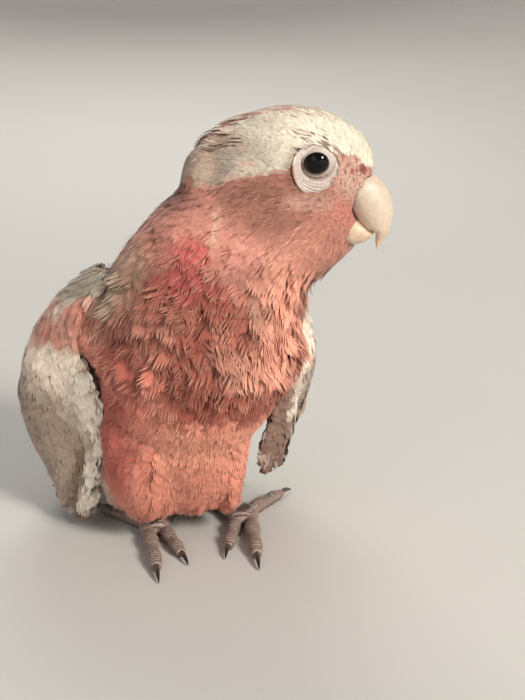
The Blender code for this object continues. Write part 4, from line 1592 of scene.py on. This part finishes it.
def makeTrousers():
    def hanging(points, facing):
        bird = inBird(points)
        return (bird[:, 2] < 21) & (bird[:, 2] > 8) & (bird[:, 1] < 4) & (rng.random(len(points)) < 0.8)

    places, facing = scatter(bodySurface, evenly(trouserForm["spacing"]), hanging)
    count = len(places)
    form = coatForm(places, 9)
    bird = inBird(places)
    # longest at the right side, and never down to the floor
    length = rng.uniform(*trouserForm["length"], count)
    length = length + 4 * ramp(bird[:, 0], 0, -18) + 6 * ramp(bird[:, 0], -18, -28)
    form["length"] = np.minimum(length, bird[:, 2] - 3)
    form["width"] = rng.uniform(*trouserForm["width"], count)
    form["lift"] = rng.uniform(*trouserForm["lift"], count)
    form["lean"] = rng.normal(0, trouserForm["lean"], count)
    form.update(trouserForm["vane"])
    makeCoat("coat_trousers", places, facing, form)


makeRuffles()
makeTrousers()
makeBodyCoat()


# crest: long narrow feathers that lie back over the nape and stand a little off it
crestForm = {
    "count": 70,
    "forward": (-36, -14),
    "left": 9,
    "length": (9, 15),
    "width": 1.1,
    "lift": (0.4, 2.6),
}


def makeCrest():
    count = crestForm["count"]
    forward = rng.uniform(*crestForm["forward"], count)
    left = rng.uniform(-1, 1, count) * crestForm["left"]
    spots = np.array([fromHead(f, a, 22)[:] for f, a in zip(forward, left)])
    places, facing = [], []
    for spot in spots.tolist():
        hit, _, face, _ = bodySurface["tree"].ray_cast(Vector(spot), Vector((0, 0, -1)))
        places.append(hit[:])
        facing.append(bodySurface["facing"][face])
    places, facing = np.array(places), np.array(facing)
    share = ramp(forward, *crestForm["forward"][::-1])
    form = coatForm(places, 4, stations=(0, 0.45, 0.8, 1))
    form.update({
        "length": rng.uniform(*crestForm["length"], count),
        "width": np.full(count, crestForm["width"]),
        "lift": rng.uniform(*crestForm["lift"], count) * share,
        "curl": 1.6,
        "lean": rng.normal(0, 0.06, count),
        "streak": 0.2 + 0.5 * share * rng.random(count),
        "streakColour": tones["crestStreak"],
        "round": 0.3,
        "fray": 0.2,
        "blunt": 2.2,
    })

    def colours(laid):
        pick = rng.random(count)
        colour = np.where((pick < 0.35)[:, None], tones["crest"], tones["crown"])
        colour = mixed(colour, (0.75 * (pick > 0.80) * share, tones["crestStreak"]))
        return colour, mixed(colour, (0.5 * share, tones["crestStreak"])), colour * 0.8

    form["colours"] = colours
    makeCoat("coat_crest", places, facing, form)


makeCrest()

# single fine filaments in a box of places in the head's or the bird's axes: how many, from where to where,
# length, half width, rise, lean and tone
strandRows = (
    ("head", 90, (-30, 4.3, 8), (9, 5.1, 18), 6.0, 0.20, 0.10, 0.0, "crownStreak"),
    ("head", 40, (-30, 7.4, 6), (4, 8.0, 16), 6.0, 0.16, 0.10, 0.0, "crownStreak"),
    ("head", 90, (-28, 0.5, 8), (6, 7, 18), 13.0, 0.22, 0.15, 0.02, "rose"),
    ("head", 70, (-36, 1, 2), (-18, 12, 16), 13.0, 0.34, 0.6, 0.05, "crestStreak"),
    ("head", 50, (-37, 1, 2), (-20, 12, 14), 9.0, 0.30, 0.4, 0.06, "crown"),
    ("head", 60, (8, 8, -9), (15, 12, 3), 1.4, 0.12, 0.20, 0.4, "loreSpot"),
    ("head", 60, (-5, 11, 5.2), (6, 17, 7.6), 3.6, 0.15, 0.12, 0.05, "brow"),
    ("head", 70, (9, 7, -10), (15, 12, 4), 2.0, 0.12, 0.45, 0.4, "crown"),
    ("head", 150, (-32, 16, -20), (-6, 24, -5), 5.5, 0.15, 0.10, 0.12, "cheekLine"),
    ("head", 120, (-30, 16, -20), (2, 24, -8), 4.0, 0.13, 0.15, 0.15, "underEye"),
    ("head", 90, (-14, 12, -32), (8, 24, -18), 6.0, 0.15, 0.25, 0.2, "neckPale"),
    ("head", 60, (-34, 10, -34), (-10, 26, -18), 7.0, 0.18, 0.35, 0.25, "cheekLine"),
    ("bird", 90, (-22, -44, 88), (16, -28, 112), 4.5, 0.15, 0.4, 0.15, "neckPale"),
    ("bird", 80, (-22, -44, 88), (10, -28, 112), 6.0, 0.17, 0.4, 0.15, "loreSpot"),
    ("bird", 100, (-26, -44, 56), (24, -28, 92), 5.0, 0.15, 1.2, 0.25, "neckPale"),
    ("bird", 70, (-26, -44, 56), (24, -28, 92), 6.0, 0.17, 0.9, 0.25, "loreSpot"),
    ("bird", 120, (-24, -36, 18), (22, -18, 52), 3.5, 0.13, 0.2, 0.2, "neckPale"),
    ("bird", 90, (-26, -36, 14), (20, -18, 52), 5.0, 0.13, 0.5, 0.3, "cheekLine"),
    ("bird", 46, (-32, -14, 84), (-16, 6, 116), 9.0, 0.20, 2.2, 0.3, "crestStreak"),
    ("bird", 10, (20, -16, 44), (26, -6, 52), 13.0, 0.45, 2.2, 0.2, "belly"),
    ("bird", 26, (-34, -14, 68), (-28, -4, 84), 8.0, 0.13, 1.5, 0.3, "lightStreak"),
)


def makeStrands():
    places, numbers = [], []
    for i, (axes, count, low, high, *_) in enumerate(strandRows):
        spots = rng.uniform(low, high, (count, 3))
        if axes == "head":
            spots[:, 1] *= rng.choice((-1, 1), count)
            spots = np.array(headCentre) + spots * mm @ headAxes.T
        else:
            spots = np.array(standing) + spots * mm
        places.append(spots)
        numbers += [i] * count
    numbers = np.array(numbers)
    spots = np.concatenate(places)
    places, facing = settle(bodySurface, spots)
    wanted = (np.linalg.norm(places - spots, axis=1) < 7 * mm) & feathersGrow(places, facing)
    places, facing, numbers = places[wanted], facing[wanted], numbers[wanted]
    count = len(places)
    length, width, lift, lean = np.array([row[4:8] for row in strandRows]).T
    colour = np.array([tones[row[8]] for row in strandRows])[numbers] * rng.uniform(0.85, 1.15, (count, 1))
    form = coatForm(places, 1, stations=(0, 0.35, 0.7, 1))
    form.update({
        "length": length[numbers] * rng.uniform(0.7, 1.2, count),
        "width": width[numbers],
        "lift": form["lift"] + lift[numbers] * rng.uniform(0.3, 1.2, count) + 0.12,
        "depth": np.full(count, 0.3),
        "lean": form["lean"] + lean[numbers] * rng.normal(0, 1, count),
        "full": 1.0,
        "blunt": 2,
        "thick": 0.05,
        "colours": lambda laid: (colour, colour, colour),
    })
    makeCoat("coat_strands", places, facing, form)


makeStrands()


# feathers of the wings
def makeWing(word, side):
    surface = wingSurface[word]
    out = np.array((side, 0, 0))

    def lie(points, facing):
        back, down = wingPlace(word, points)
        slope = 0.12 + 0.62 * ramp(back, 0.15, 0.75) - 0.9 * ramp(back, 0.72, 0.95) * ramp(down, 0.6, 0.85)
        return unit(np.stack([0 * back, slope, -np.ones_like(back)], axis=1))

    def colours(laid):
        line, up, _ = laid
        spot = line[:, 3]
        colour, patch = wingColour(word, spot, up[:, 3])
        pale = colour * 0.7 + wingTones["barbTip"] * 0.3
        return colour, pale, mixed(tones["greyDown"] + 0 * spot, (patch, tones["down"]))

    def unwrap(points):
        back, down = wingPlace(word, points)
        half = np.where((points[:, 0] - middle("wing_" + word).x) * side > 0, 0.02, 0.52)
        return np.stack([half + 0.44 * np.clip(back, 0, 1), 0.02 + 0.96 * np.clip(down, 0, 1)], axis=1)

    def rearInside(back, facing):
        # the rear of the inner face has no small feathers
        return (facing @ out < 0.2) & (back > 0.8)

    def covered(points, facing):
        back, down = wingPlace(word, points)
        blades = (facing @ out > 0.2) & (down > 0.60 + 0.06 * noise(points, 5 * mm, 34)) & (back > 0.62)
        blades = blades & (rng.random(len(points)) > 0.25)
        return (facing[:, 2] > -0.7) & (down < 0.99) & (down > 0.27) & ~blades & ~rearInside(back, facing)

    makeFlight(word, side, lie)
    places, facing = scatter(surface, evenly(wingForm["spacing"]), covered)
    count = len(places)
    back, down = wingPlace(word, places)
    outside = ramp(facing @ out, -0.6, 0.0)
    inReach = (places[:, 2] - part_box("wing_" + word)[0].z) / mm - 9 * ramp(back, 0.25, 0.5)
    inReach = np.maximum(inReach, 0) + 2.5
    behind, _ = foldedEdge(back, down)
    length = mixed(np.full(count, 8.0), (outside, mixed(8.5, (ramp(down, 0.4, 0.9), 10.5))))
    length = mixed(length, (ramp(behind, 0.0, -0.05) * ramp(down, 0.4, 0.6), 5.8))
    length = mixed(length, (ramp(facing @ out, 0.4, 0.0) * ramp(back, 0.25, 0.15), 4.5))
    form = {
        **plainForm,
        "length": np.minimum(length * rng.uniform(0.85, 1.15, count), inReach),
        "width": np.clip(length * 0.42, 1.5, 3.8) * rng.uniform(0.85, 1.15, count),
        "lift": 0.03 + 0.05 * outside,
        "depth": np.full(count, 0.6),
        "lean": rng.normal(0, 0.09, count),
        "relief": lambda points: 0.45 * noise(points, 7 * mm, 33) * mm,
        "locks": 11,
        "stations": (0, 0.68, 1),
        "round": 0.45,
        "fray": 0.03,
        "full": 2.3,
        "splay": 0.04,
        "dome": 0.12,
        "thick": 0.04,
        "uneven": 0.008,
        "vary": 0.025,
        "varyLock": 0.02,
        "downShare": 0.1,
        "tipShare": 0.2,
        "blunt": 6,
        "colours": colours,
    }
    makeCoat("coat_wing_" + word, places, facing, form, surface, lie, unwrap)

    # the bend of the wing has narrow frayed feathers like the body's
    def bend(points, facing):
        back, down = wingPlace(word, points)
        upper = down < 0.34 + 0.04 * noise(points, 5 * mm, 36)
        return upper & (facing @ out > -0.5) & ~rearInside(back, facing)

    places, facing = scatter(surface, evenly(wingForm["bendSpacing"]), bend)
    count = len(places)
    shoulderForm = form | {
        "length": rng.uniform(7, 10, count),
        "width": rng.uniform(1.5, 2.4, count),
        "lift": rng.uniform(0.2, 1.3, count),
        "depth": np.full(count, 0.5),
        "lean": rng.normal(0, 0.22, count) - 0.25 * side,
        "locks": 9,
        "stations": (0, 0.4, 0.76, 1),
        "round": 0.3,
        "fray": 0.1,
        "full": 1.9,
        "uneven": 0.02,
        "varyLock": 0.04,
        "blunt": 4,
        "tipShare": 0.5,
    }
    makeCoat("coat_bend_" + word, places, facing, shoulderForm, surface, lie, unwrap)


# long feathers: thin closed blades with a raised shaft, from stations along a line
bladeForm = {
    "across": (-1, -0.72, -0.38, -0.08, 0, 0.08, 0.38, 0.72, 1),
    "stations": 40,
    "thick": 0.30,
    "shaft": 0.16,
    "point": 0.80,
    "notch": 0.10,
}


def makeBlades(name, lines, ups, widths, camber, colourAt):
    count, stations = lines.shape[:2]
    across = np.array(bladeForm["across"])
    share = np.linspace(0, 1, stations)
    way = unit(np.gradient(lines, axis=1))
    side = unit(np.cross(way, ups))
    upward = np.cross(side, way)
    beyond = np.clip(share - bladeForm["point"], 0, 1) / (1 - bladeForm["point"])
    rounding = np.sqrt(np.clip(1 - beyond**2.6, 0.004, 1))
    torn = 1 - bladeForm["notch"] * (rng.random((count, stations, 2)) ** 5) * (share > 0.3)[None, :, None]
    halves = widths * (rounding * ramp(share, -0.25, 0.22))[None, :, None] * torn
    half = np.where(across < 0, halves[..., :1], halves[..., 1:])
    rise = -camber * across**2 + bladeForm["shaft"] * np.exp(-((across / 0.06) ** 2))
    thick = bladeForm["thick"] * (1 - 0.8 * across**2)
    spot = lines[:, :, None] + side[:, :, None] * (half * across)[..., None]
    top = spot + upward[:, :, None] * (rise * mm)[None, None, :, None]
    bottom = spot + upward[:, :, None] * ((rise - thick) * mm)[None, None, :, None]
    inner = slice(len(across) - 2, 0, -1)
    shell = np.concatenate([top, bottom[:, :, inner]], axis=2)
    ring = shell.shape[2]
    lane = np.concatenate([across, across[inner]])
    faces = []
    for row in range(stations - 1):
        for i in range(ring):
            a, b = row * ring + i, row * ring + (i + 1) % ring
            faces += [(a, b, b + ring), (a, b + ring, a + ring)]
    last = (stations - 1) * ring
    for i in range(1, ring - 1):
        faces += [(0, i + 1, i), (last, last + i, last + i + 1)]
    faces = (np.arange(count)[:, None, None] * stations * ring + np.array(faces)[None]).reshape(-1, 3)
    along = np.broadcast_to(share[None, :, None], (count, stations, ring))
    lanes = np.broadcast_to(lane[None, None], (count, stations, ring))
    number = np.broadcast_to(np.arange(count)[:, None, None], (count, stations, ring))
    colours = colourAt(number, along, lanes)
    vane = np.stack([(lanes + 1) / 2, along], axis=-1).reshape(-1, 2)
    bake = np.stack([(number + 0.06 + 0.44 * (lanes + 1)) / count, 0.02 + 0.96 * along], axis=-1)
    points = shell.reshape(-1, 3)
    # no blade goes into the floor
    points[:, 2] = np.maximum(points[:, 2], 0.05 * mm)
    mesh = meshFromArrays(name, points, faces, colours.reshape(-1, 3), vane, bake.reshape(-1, 2))
    piece = addPiece(name, mesh, finishes["vaneFeather"])
    print(name, count, "blades,", len(mesh.polygons), "faces")
    return piece


# the tail: root and turn in the bird's axes, length, how far apart the pairs lie, half widths of a blade's
# outer and inner vane, and how far each pair lies under the one inside it
tailForm = {
    "root": (-8, 42),
    "turn": 5,
    "run": 136.7,
    "pairs": 6,
    "rootGap": 1.5,
    "endGap": 3.75,
    "outer": 4.0,
    "inner": 8.5,
    "step": 0.26,
    "base": paint(186, 180, 170),
    "end": paint(92, 88, 86),
    "shaft": paint(70, 64, 60),
    "coverSpacing": 2.4,
    "coverTip": paint(238, 230, 218),
}
tailAsMade = surfaceOf(meshOf(copyOf(["tail"], 0), "tailShape"))
tailSurface = surfaceOf(moulded(copyOf(["tail"], 0.2 * mm), 1.0 * mm, 2))


def tailAxes():
    # along the tail and to its left, on the floor
    turn = math.radians(tailForm["turn"])
    return np.array((-math.sin(turn), math.cos(turn))), np.array((math.cos(turn), math.sin(turn)))


def tailPlace(points):
    # how far along the tail, from 0 to 1, and how far to the left of its middle in millimetres
    ahead, left = tailAxes()
    away = inBird(points)[:, :2] - np.array(tailForm["root"])
    return away @ ahead / tailForm["run"], away @ left


def makeTail():
    ahead, left = tailAxes()
    lines, widths = [], []
    for pair in range(tailForm["pairs"] - 1, -1, -1):
        for side in (-1, 1):
            end = 1 - 0.0018 * pair**2 - 0.008 * rng.random()
            line = []
            for share in np.linspace(0.02, end, bladeForm["stations"]):
                rootGap = tailForm["rootGap"] * (pair + 0.5)
                gap = rootGap * (1 - share) + tailForm["endGap"] * (pair + 0.6) * share
                middleLine = np.array(tailForm["root"]) + ahead * min(share, 0.955) * tailForm["run"]
                spot = fromBird(*(middleLine + left * side * gap * 0.8), 60)
                hit = tailAsMade["tree"].ray_cast(spot, Vector((0, 0, -1)))[0]
                hit = hit or tailAsMade["tree"].find_nearest(spot - Vector((0, 0, 30 * mm)))[0]
                drop = tailForm["step"] * (pair + 0.5 * (side > 0)) + 0.1
                flat = np.array(tailForm["root"]) + ahead * share * tailForm["run"] + left * side * gap
                spot = fromBird(*flat, 0)
                line.append((spot.x, spot.y, max(hit.z - drop * mm, 0.4 * mm)))
            lines.append(line)
            pale = (tailForm["outer"], tailForm["inner"])
            widths.append([pale if side < 0 else pale[::-1]] * bladeForm["stations"])
    lines = np.array(lines)
    soft = np.ones(5) / 5
    for feather in lines:
        padded = np.concatenate([[feather[0, 2]] * 2, feather[:, 2], [feather[-1, 2]] * 2])
        feather[:, 2] = np.convolve(padded, soft, "valid")
    ups = np.broadcast_to(np.array((0, 0, 1.0)), lines.shape)

    def colourAt(number, along, lanes):
        tone = 1 + 0.05 * np.sin(number * 2.3)[..., None]
        colour = mixed(
            tailForm["base"] + np.zeros((*along.shape, 3)),
            (ramp(along, 0.25, 0.8), tailForm["end"]),
            (0.35 * ramp(np.abs(lanes), 0.75, 1), tailForm["base"]),
            (0.8 * ramp(np.abs(lanes), 0.1, 0.02), tailForm["shaft"]),
        )
        return colour * tone

    piece = makeBlades("tail_feathers", lines, ups, np.array(widths) * mm, 0.5, colourAt)
    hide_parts("tail")


def makeTailCover():
    # soft feathers over the root of the tail, pale above and pinkish below
    way = np.array((*tailAxes()[0], -0.2))

    def keep(points, facing):
        along, _ = tailPlace(points)
        reach = np.where(facing[:, 2] > 0, 0.30, 0.26) + 0.05 * noise(points, 6 * mm, 61)
        return (along < reach) & (points[:, 2] > 3 * mm)

    def colours(laid):
        line, up, _ = laid
        above = ramp(up[:, 3, 2], -0.2, 0.2)
        colour = mixed(tones["vent"] + 0 * line[:, 3], (above, tones["rump"]))
        tip = colour * 0.7 + 0.3 * tailForm["coverTip"]
        return colour, tip, mixed(tones["down"] + 0 * colour, (above, tones["greyDown"]))

    places, facing = scatter(tailSurface, evenly(tailForm["coverSpacing"]), keep)
    count = len(places)
    form = coatForm(places, 11)
    form.update({
        "length": rng.uniform(11, 16, count),
        "width": rng.uniform(3.2, 4.2, count),
        "lift": np.full(count, 0.4),
        "depth": np.full(count, 0.6),
        "lean": rng.normal(0, 0.08, count),
        "colours": colours,
        "relief": lambda points: 0.2 * noise(points, 6 * mm, 62) * mm,
    })

    def lie(points, facing):
        return np.broadcast_to(unit(way), points.shape)

    def unwrap(points):
        along, aside = tailPlace(points)
        return np.stack([0.5 + aside / 60, 0.05 + 0.9 * np.clip(along * 2, 0, 1)], axis=1)

    makeCoat("coat_tail", places, facing, form, tailSurface, lie, unwrap)


makeTail()
makeTailCover()

# flight feathers of the folded wing: the two ends of the line of roots, back along the wing and down it,
# how many places stand on that line, half widths of a blade's outer and inner vane, and how far each lies
# over the one before; a place that misses the wing has no feather
flightForm = {
    "back": (0.53, 0.97),
    "down": (0.42, 0.30),
    "count": 13,
    "steps": 12,
    "outer": 5.4,
    "inner": 7.8,
    "step": 0.05,
    "base": paint(206, 190, 170),
    "end": paint(172, 156, 138),
    "shaft": paint(150, 134, 120),
}


def makeFlight(word, side, lie):
    surface = wingSurface[word]
    low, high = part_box("wing_" + word)
    lines, ups = [], []
    for i, share in enumerate(np.linspace(1, 0, flightForm["count"])):
        back = flightForm["back"][0] + (flightForm["back"][1] - flightForm["back"][0]) * share
        down = flightForm["down"][0] + (flightForm["down"][1] - flightForm["down"][0]) * share
        start = Vector((
            middle("wing_" + word).x + side * 0.1,
            low.y + back * (high.y - low.y),
            high.z - down * (high.z - low.z),
        ))
        hit, _, face, _ = surface["tree"].ray_cast(start, Vector((-side, 0, 0)))
        if hit is None:
            continue
        spot, facing = np.array([hit[:]]), surface["facing"][face][None]
        line, up = [], []
        steps = flightForm["steps"]
        length = (spot[0, 2] - low.z - 9 * mm) * (1.05 + 0.12 * back)
        for step in range(steps + 1):
            rise = (0.1 + 0.3 * ramp(step / steps, 0, 0.5) + flightForm["step"] * i) * mm
            line.append(spot[0] + facing[0] * rise)
            up.append(facing[0])
            ahead = lie(spot, facing)
            ahead = unit(ahead - facing * dot(ahead, facing))
            free = spot + ahead * length / steps
            moved, turned = settle(surface, free)
            if dot(turned, facing)[0, 0] < 0.6:
                moved, turned = free, facing
            spot, facing = moved, unit(0.5 * turned + 0.5 * facing)
        places = np.linspace(0, 1, bladeForm["stations"])[None]
        lines.append(alongLine(np.array(line)[None], places)[0])
        ups.append(unit(alongLine(np.array(up)[None], places)[0]))
    pair = (flightForm["outer"], flightForm["inner"])
    widths = np.tile(np.array(pair if side > 0 else pair[::-1]) * mm, (len(lines), bladeForm["stations"], 1))

    def colourAt(number, along, lanes):
        colour = mixed(
            flightForm["base"] + np.zeros((*along.shape, 3)),
            (ramp(along, 0.5, 1), flightForm["end"]),
            (0.6 * ramp(np.abs(lanes), 0.1, 0.02), flightForm["shaft"]),
        )
        return colour * (1 + 0.04 * np.sin(number * 1.9))[..., None]

    makeBlades("flight_" + word, np.array(lines), np.array(ups), widths, 0.35, colourAt)


makeWing("right", -1)
makeWing("left", 1)


# floor, light and camera
stageForm = {"flat": 0.7, "bend": 3.0, "wall": 4.5, "colour": (0.66, 0.65, 0.63)}


def makeStage():
    # a round floor that curves up into a wall on every side
    bm = bmesh.new()
    flat, bend = stageForm["flat"], stageForm["bend"]
    path = [Vector((0.001, 0, 0)), Vector((flat, 0, 0))]
    for turn in np.linspace(0, math.pi / 2, 13)[1:]:
        path.append(Vector((flat + bend * math.sin(turn), 0, bend * (1 - math.cos(turn)))))
    path.append(Vector((flat + bend, 0, stageForm["wall"])))
    verts = [bm.verts.new(point) for point in path]
    edges = [bm.edges.new(pair) for pair in zip(verts, verts[1:])]
    bmesh.ops.spin(
        bm, geom=verts + edges, axis=(0, 0, 1), cent=(0, 0, 0), steps=96, angle=2 * math.pi, use_merge=True
    )
    mesh = meshOf(bm, "floor")
    mesh.shade_smooth()
    floor = bpy.data.objects.new("floor", mesh)
    bpy.context.scene.collection.objects.link(floor)
    material = bpy.data.materials.new("floorPaint")
    material.use_nodes = True
    shader = material.node_tree.nodes["Principled BSDF"]
    shader.inputs["Base Color"].default_value = (*stageForm["colour"], 1)
    shader.inputs["Roughness"].default_value = 0.95
    floor.data.materials.append(material)


lights = {
    "key": {"at": (0.85, -1.65, 1.10), "size": 0.5, "energy": 44.0, "colour": (1.0, 0.94, 0.85)},
    "fill": {"at": (-1.3, -1.2, 0.8), "size": 1.2, "energy": 5.0, "colour": (0.95, 0.96, 1.0)},
    "back": {"at": (0.2, 1.6, 1.4), "size": 1.0, "energy": 16.0, "colour": (1.0, 0.96, 0.9)},
}


roomLight = {"colour": (0.86, 0.85, 0.84), "strength": 0.36}


def makeLights():
    aim = fromBird(0, 0, 80)
    for name, form in lights.items():
        lamp = bpy.data.lights.new(name, "AREA")
        lamp.size = form["size"]
        lamp.energy = form["energy"]
        lamp.color = form["colour"]
        holder = bpy.data.objects.new(name, lamp)
        holder.location = standing + Vector(form["at"])
        holder.rotation_euler = (aim - holder.location).to_track_quat("-Z", "Y").to_euler()
        bpy.context.scene.collection.objects.link(holder)
    world = bpy.data.worlds.new("room")
    world.use_nodes = True
    background = world.node_tree.nodes["Background"]
    background.inputs["Color"].default_value = (*roomLight["colour"], 1)
    background.inputs["Strength"].default_value = roomLight["strength"]
    bpy.context.scene.world = world
    bpy.context.scene.view_settings.view_transform = "Standard"


cameraForm = {"azimuth": -15, "down": 13, "distance": 0.345, "lens": 47.06, "right": 23.6, "up": 66.7}


def makeCamera():
    turn, down = math.radians(cameraForm["azimuth"]), math.radians(cameraForm["down"])
    right = Vector((math.cos(turn), math.sin(turn), 0))
    level = Vector((-math.sin(turn), math.cos(turn), 0))
    ahead = level * math.cos(down) - headUp * math.sin(down)
    up = right.cross(ahead)
    lens = bpy.data.cameras.new("camera")
    lens.sensor_width = 36
    lens.lens = cameraForm["lens"]
    lens.clip_start = 0.01
    camera = bpy.data.objects.new("camera", lens)
    place = Matrix((right, up, -ahead)).transposed().to_4x4()
    aside = (right * cameraForm["right"] + up * cameraForm["up"]) * mm
    place.translation = standing + aside - ahead * cameraForm["distance"]
    camera.matrix_world = place
    bpy.context.scene.collection.objects.link(camera)
    bpy.context.scene.camera = camera


makeStage()
makeLights()
makeCamera()
print("stage, lights and camera set")
